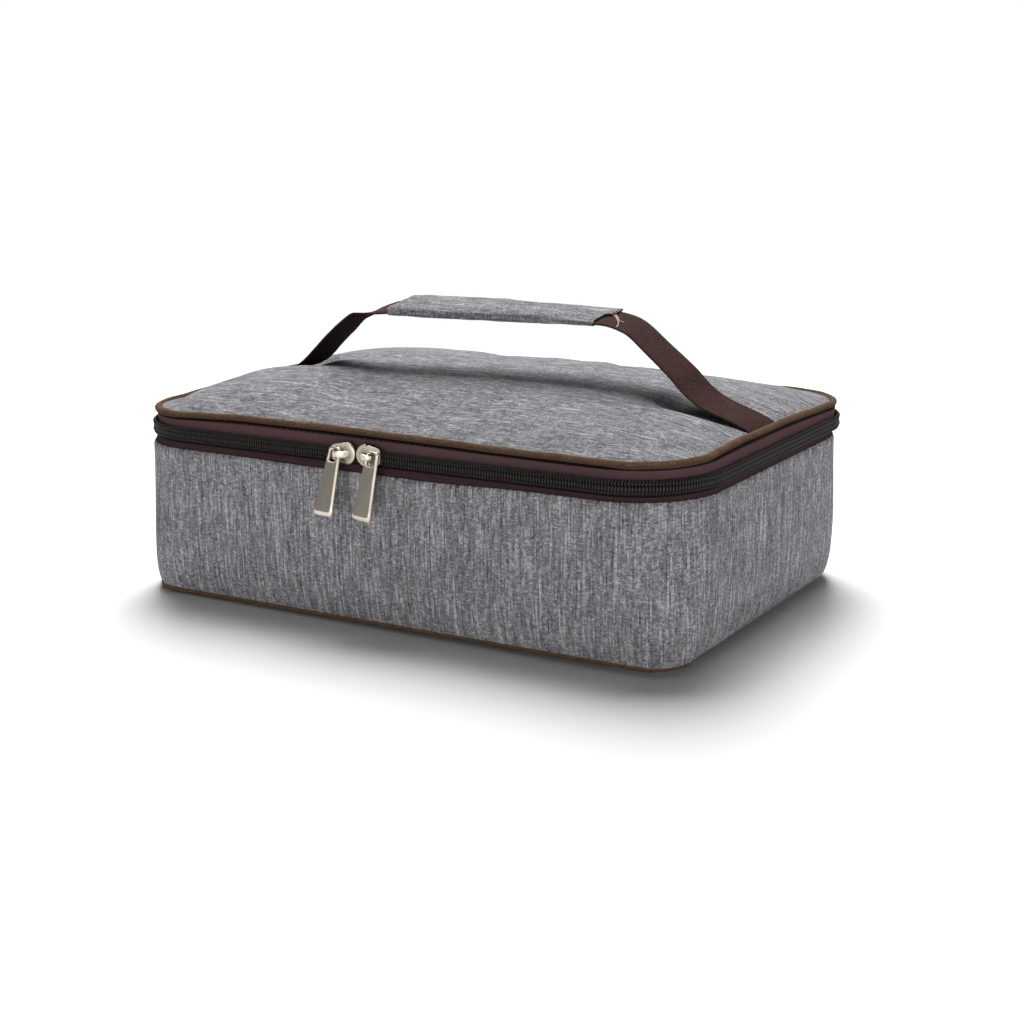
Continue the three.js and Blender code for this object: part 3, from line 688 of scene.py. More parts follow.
@made_once
def melange_cloth(name):
    """Grey cloth of mixed yarns. Each warp yarn along V and each weft yarn along U is numbered by its
    place over the pitch, and its tone drifts along it on its own. Some warp yarns carry pale or dark
    slubs, the plain weave stands up in the bump, and the cloth is gathered in fine ridges along V where
    its accent says so: the ridges stand up in the bump and carry painted light and shade in the colour."""
    colours = of("bag_finish")
    material, shader, u, v = finish_for(name, roughness=0.92, specular_ior_level=0.05)
    gathers = accent_of(u)
    bend = cloud(u, v, 0.021, 0.034, detail=1.0, shift=3.1) - 0.5
    across = u + bend * 0.0005
    warp_pitch, weft_pitch, gather_pitch = 0.00063, 0.0006, 0.0024
    warp, weft = whole(across / warp_pitch), whole(v / weft_pitch)
    streak = cloud(warp, v, 1 / 3.7, 0.0075, detail=1.0, shift=11.3)
    long = cloud(warp, v, 1 / 5.3, 0.030, detail=0.5, shift=57.1)
    cross = cloud(u, weft, 0.0026, 1 / 4.1, detail=1.0, shift=23.9)
    grain = cloud(warp, weft, 1 / 2.3, 1 / 3.1, detail=0.0, shift=5.7)
    patchy = cloud(u, v, 0.017, 0.026, shift=41.2)
    slub = step_between(cloud(warp, v, 1 / 9.1, 0.026, detail=0.5, shift=67.4), 0.65, 0.78)
    gap = step_between(cloud(warp, v, 1 / 7.9, 0.017, detail=0.5, shift=83.8), 0.64, 0.80)
    ridge = sine(u * (TURN / gather_pitch) + bend * 3) * gathers
    tone = 0.5 + (streak - 0.5) * 0.62 + (long - 0.5) * 0.40 + (grain - 0.5) * 0.62 + (cross - 0.5) * 0.52
    # The ridge term paints the light and shade of the gathers into the tone, besides their bump.
    tone = tone + (patchy - 0.5) * 0.14 + slub * 0.24 - gap * 0.16 + ridge * 0.11
    shade = tone.node(
        "ShaderNodeValToRGB",
        {"stops": [(0.08, colours.yarn_dark), (0.5, colours.yarn_mid), (0.95, colours.yarn_light)]},
        {0: tone},
    )
    weave = size_of(sine(across * (np.pi / warp_pitch))) + size_of(sine(v * (np.pi / weft_pitch)))
    join(
        shader,
        base_color=shade,
        roughness=0.86 + grain * 0.12,
        normal=raised(weave * 0.5 + cross * 0.5 + ridge * 2.2, strength=0.35, distance=0.00035),
    )
    return material


@made_once
def woven(name, shade, twill, rib, spread=0.35, slant=1.0):
    """Tape, webbing or bias cloth in one colour: slanted twill lines that turn back at each rib, with
    threads that differ a little in tone and worn paler in patches. A positive accent darkens it as
    painted shade, down to near black as a painted shadow at an accent of two, and a negative accent
    makes it paler as painted light."""
    material, shader, u, v = finish_for(name, roughness=0.85, specular_ior_level=0.03)
    zig = v.math("PINGPONG", v, rib) * slant
    line = sine((u + zig) * (TURN / twill)) * 0.5 + 0.5
    thread = cloud(u, v, twill * 0.8, 0.003, rough=0.6, shift=7.7)
    worn = cloud(u, v, 0.006, 0.006, detail=3.0, rough=0.6, shift=19.3)
    speck = cloud(u, v, 0.0009, 0.0009, detail=1.0, shift=29.5)
    accent = accent_of(u)
    # The accent term darkens the tone as painted shade, or pales it as painted light where the accent is
    # negative; deep is the near black of a painted shadow.
    tone = line * 0.30 + thread * 0.60 + worn * 0.45 + speck * 0.50 - 0.50 - accent * 0.6
    deep, dark, pale = (toned(shade, share) for share in (0.12, 1 - spread, 1 + 1.25 * spread))
    cloth = mixed(step_between(tone, 0.0, 0.9), dark, pale)
    join(
        shader,
        base_color=mixed(step_between(accent, 1.0, 2.0), cloth, deep),
        roughness=0.78 + thread * 0.16,
        normal=raised(line * 0.7 + thread * 0.6, strength=0.55, distance=0.00025),
    )
    return material


def brown_tape():
    """Twill of the zip tapes, the bindings and the hinge."""
    return woven("brown_zip_tape", of("bag_finish").tape, twill=0.0007, rib=0.0021)


def brown_piping():
    """Bias cloth round the cords."""
    return woven("brown_piping_cloth", of("bag_finish").piping, twill=0.0007, rib=0.05, spread=0.45)


def brown_webbing():
    """Ribbed webbing of the strap."""
    return woven("brown_webbing", of("bag_finish").webbing, twill=0.00095, rib=0.0043, spread=0.6, slant=0.3)


@made_once
def black_nylon(name):
    """Coil wire: dark nylon with faint changes of gloss, painted black as painted shadow where its accent
    says so.
    """
    colours = of("bag_finish")
    material, shader, u, v = finish_for(name, roughness=0.4, specular_ior_level=0.20)
    tone = cloud(u, v, 0.0011, 0.0011, rough=0.6, shift=2.2)
    pale = toned(colours.coil, 1.6)
    black = toned(colours.coil, 0.06)
    join(
        shader,
        base_color=mixed(accent_of(u), mixed(step_between(tone, 0.3, 0.75), colours.coil, pale), black),
        roughness=0.3 + tone * 0.25,
        normal=raised(tone, strength=0.2, distance=0.0001),
    )
    return material


@made_once
def nickel(name, metallic):
    """Plated metal: a dark warm face, whose darkness is a painted reflection, with fine scratches; paler,
    less metallic and smoother where the piece's accent says so, partly polished metal and partly
    painted highlight."""
    colours = of("bag_finish")
    material, shader, u, v = finish_for(name, metallic=metallic, roughness=0.3)
    polish_and_highlight = accent_of(u)
    mark = cloud(u, v, 0.0035, 0.00022, detail=3.0, rough=0.65, shift=9.1)
    smear = cloud(u, v, 0.004, 0.005, shift=31.6)
    face = mixed(step_between(smear, 0.25, 0.8), toned(colours.nickel, 0.88), colours.nickel)
    join(
        shader,
        base_color=mixed(step_between(polish_and_highlight + (mark - 0.5) * 0.12, 0.05, 0.95), face, colours.nickel_edge),
        metallic=metallic - polish_and_highlight * 0.2,
        roughness=0.34 - polish_and_highlight * 0.1 + smear * 0.1 + (mark - 0.5) * 0.08,
        normal=raised(mark, strength=0.12, distance=0.00006),
    )
    return material


@made_once
def foil_film(name):
    """Foil-faced film: bright, with creases where cells of two sizes meet, sunk in the bump and painted
    duller and darker as painted shade.
    """
    colours = of("bag_finish")
    material, shader, u, v = finish_for(name, metallic=0.85, roughness=0.45)
    place = u.node("ShaderNodeCombineXYZ", None, {0: u, 1: v})
    cells = {"voronoi_dimensions": "2D", "feature": "DISTANCE_TO_EDGE"}
    large = u.node("ShaderNodeTexVoronoi", cells, {"Vector": place, "Scale": 75.0})
    small = u.node("ShaderNodeTexVoronoi", cells, {"Vector": place, "Scale": 260.0})
    crease = step_between(large, 0.0, 0.12) * 0.6 + step_between(small, 0.0, 0.15) * 0.25
    soft = cloud(u, v, 0.006, 0.006, detail=3.0, rough=0.6, shift=4.4)
    dull = toned(colours.film, 0.72)
    join(
        shader,
        base_color=mixed(crease + soft * 0.3 - 0.1, dull, colours.film),
        roughness=0.42 - crease * 0.12 + soft * 0.1,
        normal=raised(crease + soft * 0.8, strength=0.6, distance=0.0006),
    )
    return material


@made_once
def white_foam(name):
    """Closed-cell foam: a fine skin of small cells."""
    colours = of("bag_finish")
    material, shader, u, v = finish_for(name, roughness=0.95, specular_ior_level=0.2)
    cell = cloud(u, v, 0.0007, 0.0007, rough=0.6, shift=6.6)
    dull = toned(colours.foam, 0.8)
    join(
        shader,
        base_color=mixed(step_between(cell, 0.25, 0.6), dull, colours.foam),
        roughness=0.85 + cell * 0.12,
        normal=raised(cell, strength=0.4, distance=0.0003),
    )
    return material


@made_once
def thread_of(name, shade):
    """Sewing thread: a two-ply twist."""
    material, shader, u, v = finish_for(name, roughness=0.8, specular_ior_level=0.05)
    ply = sine(u * (TURN / 0.0008) + v * (TURN / 0.0007)) * 0.5 + 0.5
    dark = toned(shade, 0.6)
    join(
        shader,
        base_color=mixed(ply, dark, shade),
        roughness=0.62 + ply * 0.15,
        normal=raised(ply, strength=0.5, distance=0.0001),
    )
    return material


def brown_thread():
    """Thread of the zip's and the hinge's seams, a little darker than the tape."""
    return thread_of("brown_thread", toned(of("bag_finish").tape, 0.9))


@made_once
def studio_floor(name):
    """White that thins out to nothing well outside the shadow, by a smooth step of the distance from the
    middle."""
    material, shader, u, _ = finish_for(name, roughness=0.9, specular_ior_level=0.1)
    shader.inputs["Base Color"].default_value = (*of("bag_finish").floor, 1)
    place = u.node("ShaderNodeTexCoord", None, None, 3)
    away = u.node("ShaderNodeVectorMath", {"operation": "LENGTH"}, {0: place}, 1)
    join(shader, alpha=1.0 - step_between(away, 0.42, 0.75))
    return material


# Tub


def wall_waves(s, share):
    """Soft waves of the sewn wall: three long ones that fade towards both seams, and short puckers that
    die away above the foot."""
    turn = as_angle(s)
    slow = np.sin(11 * turn + 0.6) + 0.7 * np.sin(19 * turn + 2.1 - 2 * share)
    slow = slow + 0.5 * np.sin(31 * turn + 4 * share)
    pucker = np.sin(83 * turn + 1.6 * np.sin(13 * turn)) * (0.6 + 0.4 * np.sin(7 * turn + 1))
    body = np.sin(np.pi * np.clip(share, 0, 1)) ** 1.1
    return 0.45 * slow * body + 0.5 * pucker * np.exp(-9 * share) * np.clip(share * 14, 0, 1)


def wall_weave(s, heights, tightens):
    """Pattern coordinates of the wall, with upright yarns on every side: each side is measured from its
    own middle, and a corner takes up the rest. U adds the side's middle to its shares of the half
    lengths, which grow as the corners tighten, and V is the height."""
    tub, breaks = of("bag_tub"), outline_breaks()
    quarter = breaks[-1] / 4
    middle = np.interp(s, breaks, quarter * np.array([0, 0, 1, 1, 2, 2, 3, 3, 4, 4]))
    along = np.interp(s, breaks, [0, 1, 0, 0, -1, 1, 0, 0, -1, 0])
    beside = np.interp(s, breaks, [0, 0, -1, 1, 0, 0, -1, 1, 0, 0])
    side_x = tub.half_width - tub.corner_radius + tightens
    side_y = tub.half_depth - tub.corner_radius + tightens
    u = middle + along * side_x + beside * side_y
    return grid(u, heights)


def wall_shell():
    """The wall cloth with its pattern: its section is the outer face up to a soft roll at the rim, round
    the edge, down the inner face and round the lower edge, carried round the bag and lifted by the
    waves."""
    tub = of("bag_tub")
    s = full_turn(step=0.0016)
    rows, roll_in, roll_height = 40, 0.0005, 0.0016
    rise = 0.5 - 0.5 * np.cos(np.linspace(0, np.pi, rows))
    z = tub.wall_foot + (tub.wall_top - tub.wall_foot) * rise
    inset, tighten, share = wall_inset(z)
    roll = roll_in * np.clip((z - tub.wall_top + roll_height) / roll_height, 0, 1) ** 2
    bend = np.linspace(0, np.pi, 6)[1:-1]
    half = tub.cloth / 2
    top = (inset[-1] + roll[-1] + half - half * np.cos(bend), z[-1] + half * np.sin(bend))
    low = (inset[0] + half + half * np.cos(bend), z[0] - half * np.sin(bend))
    back = slice(None, None, -3)
    insets = np.concatenate([inset + roll, top[0], (inset + tub.cloth)[back], low[0]])
    heights = np.concatenate([z, top[1], z[back], low[1]])
    edge = np.ones(len(bend))
    tightens = np.concatenate([tighten, tighten[-1] * edge, tighten[back], tighten[0] * edge])
    shares = np.concatenate([share, edge, share[back], 0 * edge])
    outer = np.arange(len(heights)) < rows
    wave = tub.ripple * wall_waves(s, shares[None]) * outer
    closed = np.append(s, outline_breaks()[-1])[:, None]
    closed_tightens = corner_tighten(closed, np.append(tightens, tightens[0]))
    weave = wall_weave(closed, np.append(heights, heights[0]), closed_tightens)
    points = around(s, insets - wave, heights, corner_tighten(s, tightens))
    points[..., 2] += wall_shift(points[..., 0], shares)
    return points, weave


def slab(inset, tighten, low, high, drawn=None):
    """A flat panel inside the outline: rings that shrink to the middle below and above, with a rounded
    edge. A panel of the floor is drawn up to the foot's seam along its edge: in full below, and by the
    drawn share above."""
    s = full_turn(step=0.004)
    share = np.array([0, 0.3, 0.6, 0.85, 0.97, 0.992, 1, 1, 0.992, 0.97, 0.85, 0.6, 0.3, 0])
    z = np.array([0, 0, 0, 0, 0, 0.04, 0.3, 0.7, 0.96, 1, 1, 1, 1, 1]) * (high - low) + low
    points = around(s, inset, 0.0, corner_tighten(s, tighten)) * share[:, None]
    points[..., 2] = z
    if drawn is not None:
        seam = np.maximum(foot_seam(s)[0] - FLOOR_TUCK, 0)
        points[..., 2] += seam * smoothstep(share, 0.88, 0.99) * np.interp(z, [low, high], [1, drawn])
    return points


def floor_inset():
    """Rim's face to the edge of the floor, inside the foot's cord."""
    tub = of("bag_tub")
    return tub.foot_piping_inset + CORD_IN + CORD_IN_RIGHT + tub.foot_cord + tub.gap


def section_ring(corners, radius, count):
    """A rounded section of insets and heights, carried all round."""
    shape = rounded(corners, radius, count)
    return around(full_turn(step=0.0025), shape[:, 0], shape[:, 1])


class BAG_OT_wall(bpy.types.Operator):
    """Sews the wall and the floor of the tub in melange cloth"""

    bl_idname = "bag.wall"
    bl_label = "Wall and floor"

    def execute(self, context):
        tub = of("bag_tub")
        shell, weave = wall_shell()
        wall = sew("tub_wall", [patch(shell, (True, True), weave)], melange_cloth())
        fit(wall, "tub", "cloth", "wall_cloth")
        points = slab(floor_inset(), foot_tighten(), 0.0, tub.cloth, 1.0)
        floor = panel("tub_floor", points, melange_cloth())
        fit(floor, "tub", "cloth", "floor_cloth")
        return {"FINISHED"}


class BAG_OT_foam(bpy.types.Operator):
    """Puts the foam behind the cloth of the wall, the floor and the lid"""

    bl_idname = "bag.foam"
    bl_label = "Foam"

    def execute(self, context):
        tub, lid, zips = of("bag_tub"), of("bag_lid"), of("bag_zip")
        outer = tub.cloth + tub.gap
        inner = outer + tub.foam
        z = np.linspace(inner + tub.gap, tub.rim, 16)
        inset, tighten, _ = wall_inset(z)
        behind_tape = np.where(z > tub.shoulder, zips.tape + tub.gap, 0)
        section = np.concatenate([inset + outer + behind_tape, (inset + inner)[::-1]])
        s = full_turn(step=0.004)
        points = around(s, section, there_and_back(z), corner_tighten(s, there_and_back(tighten)))
        wall = band("tub_wall_foam", points, white_foam())
        fit(wall, "tub", "foam", "wall_foam")
        points = slab(floor_inset(), foot_tighten(), outer, inner, 0.0)
        floor = panel("tub_floor_foam", points, white_foam())
        fit(floor, "tub", "foam", "floor_foam")
        points = lid_layer(LAYER_EDGE, outer, outer + lid.foam)
        pad = panel("lid_pad", points, white_foam())
        fit(pad, "lid", "foam", "lid_foam")
        return {"FINISHED"}


class BAG_OT_liner(bpy.types.Operator):
    """Lines the wall, the floor and the lid with foil-faced film"""

    bl_idname = "bag.liner"
    bl_label = "Liner"

    def execute(self, context):
        tub, lid = of("bag_tub"), of("bag_lid")
        outer = tub.cloth + 2 * tub.gap + tub.foam
        s = full_turn(step=0.0022)
        z = np.linspace(outer, tub.rim, 30)
        inset, tighten, share = wall_inset(z)
        inner = inset + outer + tub.liner + self.crinkle(s, share)
        section = np.concatenate([np.broadcast_to(inset + outer, inner.shape), inner[:, ::-1]], 1)
        points = around(s, section, there_and_back(z), corner_tighten(s, there_and_back(tighten)))
        fit(band("tub_wall_liner", points, foil_film()), "tub", "film", "wall_liner")
        edge, tight, _ = wall_inset(np.array([outer]))
        points = slab(edge[0] + outer + tub.liner + tub.gap, tight[0], outer, outer + tub.liner)
        fit(panel("tub_floor_liner", points, foil_film()), "tub", "film", "floor_liner")
        drop = tub.cloth + 2 * tub.gap + lid.foam
        points = lid_layer(LAYER_EDGE, drop, drop + tub.liner)
        fit(panel("lid_lining", points, foil_film()), "lid", "film", "lid_liner")
        return {"FINISHED"}

    def crinkle(self, s, share):
        """Fine waves of the film: two runs of sines along the outline that drift with the height and
        fade out at both edges."""
        turn, height = as_angle(s), 0.00012
        slow = np.sin(5 * turn + 6 * share)
        waves = np.sin(61 * turn + 9 * share) + 0.8 * np.sin(97 * turn - 13 * share + 1) * slow
        return height * waves * np.sin(np.pi * share)


# Piping and bindings


def cord_ring(s, inset, z, radius, tighten):
    """A piping cord: a circle of insets and heights carried round the bag, with a faint wander in height."""
    turn = as_angle(s)
    wander = 0.00010 * np.sin(17 * turn + 1) + 0.00007 * np.sin(41 * turn)
    angle = circle(CORD_SIDES)
    return around(s, inset - radius * np.cos(angle), z + wander + radius * np.sin(angle), tighten)


class BAG_OT_piping(bpy.types.Operator):
    """Lays the piping cords at the lid's edge and at the foot"""

    bl_idname = "bag.piping"
    bl_label = "Piping"

    def execute(self, context):
        tub, lid = of("bag_tub"), of("bag_lid")
        # Painted shade: the undersides of both cords are darkened in colour through their accent, the foot's
        # cord less.
        under = smoothstep(-np.sin(circle(CORD_SIDES) - 0.35), -0.2, 0.9)
        s = full_turn(step=0.002)
        height, inset = foot_seam(s)
        foot = cord_ring(s, inset, height, tub.foot_cord, corner_tighten(s, foot_tighten()))
        fit(band("tub_piping", foot, brown_piping(), 0.3 * under), "tub", "piping", "foot_piping")
        top = hung(cord_ring(s, lid.piping_inset, lid.edge_z, tub.piping, lid.tighten))
        fit(band("lid_cord", top, brown_piping(), under), "lid", "piping", "lid_piping")
        return {"FINISHED"}


class BAG_OT_binding(bpy.types.Operator):
    """Folds binding tape over the inner seams of the rim and of the lid"""

    bl_idname = "bag.binding"
    bl_label = "Bindings"

    def execute(self, context):
        tub, lid, zips = of("bag_tub"), of("bag_lid"), of("bag_zip")
        outer = tub.cloth + 2 * tub.gap + zips.tape
        flap = tub.cloth + 3 * tub.gap + tub.foam + tub.liner
        thick, drop, depth = 0.0009, 0.007, 0.0033
        low = tub.rim + tub.gap
        corners = [
            (outer, low), (outer, low + thick), (flap + thick, low + thick), (flap + thick, low - drop),
            (flap, low - drop), (flap, low),
        ]
        ring = section_ring(corners, [0.0002, 0.0005, 0.0008, 0.0003, 0.0003, 0.0002], 48)
        fit(band("tub_rim_binding", ring, brown_tape()), "tub", "tape", "rim_binding")
        top = lid.edge_z - tub.piping - tub.gap
        ring = hung(section_ring(oblong(lid.inset - thick, lid.inset + thick, top - depth, top), 0.0006, 24))
        fit(band("lid_edge_binding", ring, brown_tape()), "lid", "tape", "lid_binding")
        return {"FINISHED"}


# Zip


def tape_face():
    """Rim's face to the stitches that lie on a zip tape or on the hinge."""
    tub, sunk = of("bag_tub"), 0.00003
    return tub.cloth + tub.gap - sunk


def seam_heights():
    """Heights of the stitches that hold the tapes and the hinge to each body."""
    above_wall, below_top = 0.0011, 0.0009
    return {"tub": of("bag_tub").wall_top + above_wall, "lid": of("bag_zip").tape_top - below_top}


def tape_band(low, high):
    """A zip tape: a thin rounded strip between two heights, carried round the sides and the front. Below
    the chain it follows the wall's own corners."""
    tub, zips = of("bag_tub"), of("bag_zip")
    near = tub.cloth + tub.gap
    shape = rounded(oblong(near, near + zips.tape, low, high), TAPE_EDGE, TAPE_POINTS)
    s = open_run(zips.hinge_half + tub.gap, step=0.0025)
    behind = corner_tighten(s, 0.0) * np.clip((zips.chain_z - CHAIN_STILL - shape[:, 1]) / 0.0035, 0, 1)
    return capped(around(s, shape[:, 0], shape[:, 1], behind))


def coil_run(steps):
    """The coil's turns between its stops as a column, with so many steps to a turn, and the arc length
    at each."""
    tub, zips, clear = of("bag_tub"), of("bag_zip"), 0.0004
    start = zips.hinge_half + 2 * tub.gap + zips.stop + clear
    run = outline_breaks()[-1] - 2 * start
    turns = int(run / zips.pitch)
    t = np.arange(turns * steps + 1)[:, None] / steps
    return t, start + t * run / turns


def coil_helix(middle, row, towards):
    """One row of the coil as a helix of wire: a flattened loop of insets and heights that moves on by
    one pitch each turn, thicker at the heads on the side of the other row. Its accent marks the heads
    and the loops' lower ends, which the coil's material paints black as painted shadow."""
    tub, zips = of("bag_tub"), of("bag_zip")
    t, along = coil_run(steps=12)
    loop = TURN * t
    depth = zips.thick / 2 - zips.wire
    tall = row / 2 - zips.wire
    flatness, swollen = 0.75, 0.16
    out, up = soft_power(np.cos(loop), flatness), soft_power(np.sin(loop), flatness)
    normal_out, normal_up = np.cos(loop) * tall, np.sin(loop) * depth
    size = np.hypot(normal_out, normal_up)
    wire = zips.wire * (1 + swollen * np.clip(towards * np.sin(loop), 0, 1) ** 3)
    ring = circle(6)[None]
    centre = tub.cloth - zips.thick / 2
    s = along + wire * np.sin(ring)
    inset = centre - depth * out - wire * np.cos(ring) * normal_out / size
    z = middle + tall * up + wire * np.cos(ring) * normal_up / size
    # Painted shadow: the ends of each loop are marked to be painted black.
    ends = smoothstep(np.maximum(towards * np.sin(loop), -np.sin(loop)), 0.45, 0.8)
    return capped(around(s, inset, z)), np.concatenate([ends[:1], ends, ends[-1:]])


def coil_thread(middle, sign):
    """The thread that sews a row to its tape: a thin cord over the wires that dips between them."""
    tub, zips = of("bag_tub"), of("bag_zip")
    radius, sunk, dip, off_middle, sway = 0.00021, 0.0001, 0.00011, 0.00045, 0.00006
    t, along = coil_run(steps=4)
    ring = circle(5)[None]
    inset = tub.cloth - zips.thick + sunk - dip * np.cos(TURN * t) - radius * np.cos(ring)
    z = middle + sign * off_middle + sway * np.sin(TURN * t) + radius * np.sin(ring)
    return capped(around(along, inset, z))


def stitches(s0, s1, inset, z, size=0.0021, gap=0.0009, radius=0.00019):
    """A row of stitches: short capsules that sink in at both ends, one after another along the outline."""
    count = int((s1 - s0) / (size + gap))
    first = s0 + np.arange(count)[:, None, None] * (s1 - s0) / count
    share = np.linspace(0, 1, 6)[None, :, None]
    ring = circle(5)[None, None]
    body = radius * np.sin(np.pi * np.clip(share, 0.04, 0.96)) ** 0.4
    lift = 0.00008 * np.sin(np.pi * share)
    wide = body * (share > 0) * (share < 1)
    return around(first + size * share, inset - lift - wide * np.cos(ring), z + wide * np.sin(ring))


class BAG_OT_zip(bpy.types.Operator):
    """Sews the zip: two tapes with stitching, two rows of coil with their threads, and the end stops"""

    bl_idname = "bag.zip"
    bl_label = "Zip"

    def execute(self, context):
        zips, colours = of("bag_zip"), of("bag_finish")
        apart, from_hinge = 0.0006, 0.002
        start = zips.hinge_half + from_hinge
        end = outline_breaks()[-1] - start
        rows = (
            ("tub", "lower", zips.tape_low, zips.chain_z - apart, -1, zips.row),
            ("lid", "upper", zips.chain_z + apart, zips.tape_top, 1, zips.row_upper),
        )
        for body, row, low, high, side, tall in rows:
            points, shade = self.tape(body, low, high)
            fit(rod(f"{body}_zip_tape", points, brown_tape(), shade), body, "tape", f"{row}_zip_tape")
            middle = zips.chain_z + side * (tall - zips.bite) / 2
            turns, ends = coil_helix(middle, tall, -side)
            fit(rod(f"{body}_zip_coil", turns, black_nylon(), ends), body, "coil", f"{row}_zip_coil")
            black = thread_of("coil_thread", colours.coil_thread)
            fit(rod(f"{body}_coil_thread", coil_thread(middle, side), black), body, "coil")
            line = stitches(start, end, tape_face(), seam_heights()[body])
            line = hung(line) if body == "lid" else line
            fit(sew(f"{body}_tape_stitches", [patch(line)], brown_thread()), body, "tape")
        for name, sign in (("left", -1), ("right", 1)):
            fit(rod(f"zip_end_{name}", self.stop(sign), black_nylon()), "tub", "coil", f"zip_stop_{name}")
        return {"FINISHED"}

    def tape(self, body, low, high):
        """A tape's points and accent: the lower one is darkened as painted shade, with a painted shadow line
        under the chain, and the upper one is paler as painted light, with a painted shadow along its top
        under the piping, and hangs with the lid."""
        zips = of("bag_zip")
        points = tape_band(low, high)
        z = points[..., 2]
        if body == "tub":
            # Painted shade over the lower tape, and a painted shadow line just below the chain.
            below = zips.chain_z - zips.row - z
            return points, 0.6 + 1.4 * smoothstep(below, -0.0004, 0) * smoothstep(-below, -0.0009, -0.0004)
        # Painted light over the upper tape, and a painted shadow in the seam under the piping.
        shade = -0.8 + 2.8 * smoothstep(z, zips.tape_top - 0.0016, zips.tape_top - 0.0009)
        return hung(points, zips.chain_z + CHAIN_STILL, zips.tape_top), shade

    def stop(self, sign):
        """A moulded end stop: a superellipsoid block on the rear end of the lower tape."""
        tub, zips = of("bag_tub"), of("bag_zip")
        below, half_height, power = 0.002, 0.0014, 0.35
        v = np.linspace(-np.pi / 2, np.pi / 2, 17)[:, None]
        u = circle(32)[None]
        flat = soft_power(np.cos(v), power)
        middle = sign * (zips.hinge_half + tub.gap + zips.stop / 2)
        face = tub.half_depth - tub.cloth + zips.thick / 2
        return grid(
            middle + zips.stop / 2 * soft_power(np.sin(v), power),
            face + zips.thick / 2 * flat * soft_power(np.cos(u), power),
            zips.chain_z - below + half_height * flat * soft_power(np.sin(u), power),
        )


class BAG_OT_hinge(bpy.types.Operator):
    """Sews the cloth hinge that joins lid and tub at the rear"""

    bl_idname = "bag.hinge"
    bl_label = "Cloth hinge"

    def execute(self, context):
        tub, zips = of("bag_tub"), of("bag_zip")
        crease_depth, crease_reach, from_end = 0.00025, 0.0012, 0.001
        near = tub.half_depth - tub.cloth - tub.gap
        shape = rounded(oblong(near, near - zips.tape, zips.tape_low, zips.tape_top), TAPE_EDGE, TAPE_POINTS)
        x = np.linspace(-zips.hinge_half, zips.hinge_half, 57)[:, None]
        crease = crease_depth * np.exp(-(((shape[:, 1] - zips.chain_z) / crease_reach) ** 2))
        points = capped(grid(x, shape[:, 0] - crease, shape[:, 1]))
        strip = fit(rod("hinge_cloth", points, brown_tape()), None, "tape", "rear_hinge_strip")
        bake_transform(strip)
        total = outline_breaks()[-1]
        reach = zips.hinge_half - from_end
        halves = ((0.0, reach), (total - reach, total))
        for body, z in seam_heights().items():
            line = [patch(stitches(s0, s1, tape_face(), z)) for s0, s1 in halves]
            fit(sew(f"{body}_hinge_stitches", line, brown_thread()), body, "tape")
        return {"FINISHED"}


# Sliders and pulls


def ring_stack(rings):
    """Points and the accent of each ring, part polished metal and part painted highlight, from rings of
    outlines in X and Z, each with its place along Y and that accent.
    """
    outlines, depths, polish_and_highlight = zip(*rings)
    flat = np.stack(outlines)
    return grid(flat[..., 0], np.array(depths)[:, None], flat[..., 1]), np.array(polish_and_highlight)[:, None]


def plate(outline, back, front, edge, crown):
    """A cast plate in X and Z with rounded edges, from back to front along -Y: rings of its outline that
    shrink to the middle on both sides, the front one domed by a crown that falls with the square of the
    distance."""
    middle = outline.mean(0)
    inner = inward(outline, edge) - middle
    face = [(middle + share * inner, front - crown * (1 - share**2), 0.3) for share in (0.0, 0.35, 0.7)]
    # Each ring's third value is its accent, part polished metal and part painted highlight; across the front
    # edge it falls towards the outline as painted shade.
    front_edge = [
        (inward(outline, edge * (1 - across)), front + edge * (1 - out), 0.5 - 0.35 * across)
        for across, out in quarter_circle(4)
    ]
    back_edge = [
        (inward(outline, edge * (1 - out)), back - edge * (1 - across), 0.7)
        for across, out in quarter_circle(3)
    ]
    return ring_stack([*face, *front_edge, *back_edge, (np.broadcast_to(middle, outline.shape), back, 0.5)])


def quarter_circle(count):
    """Sines and cosines at even steps from nothing to a right angle."""
    angle = np.linspace(0, np.pi / 2, count)
    return zip(np.sin(angle), np.cos(angle))


def strap_of_metal(path, wide, thick):
    """A bent metal strip: an oval section carried along a path in X and Y, with its width along Z."""
    path = np.asarray(path, float)
    ahead = unit(np.gradient(path, axis=0))
    side = np.stack([-ahead[:, 1], ahead[:, 0]], -1)
    angle = circle(20)
    over = thick / 2 * soft_power(np.cos(angle), 0.55)
    across = soft_power(np.sin(angle), 0.55)
    wide = np.broadcast_to(wide, len(path))
    x = path[:, :1] + side[:, :1] * over
    y = path[:, 1:] + side[:, 1:] * over
    z = wide[:, None] / 2 * across
    return capped(np.stack([x, y, z], -1))


def smooth_line(knots, count):
    """A smooth line through knots: each coordinate is a Catmull-Rom cubic of the knot's number."""
    knots = np.asarray(knots, float)
    full = np.vstack([2 * knots[0] - knots[1], knots, 2 * knots[-1] - knots[-2]])
    t = np.linspace(0, len(knots) - 1, count)
    i = np.minimum(t.astype(int), len(knots) - 2)
    f = (t - i)[:, None]
    a, b, c, d = (full[i + k] for k in range(4))
    return b + 0.5 * f * (c - a + f * (2 * a - 5 * b + 4 * c - d + f * (3 * (b - c) + d - a)))


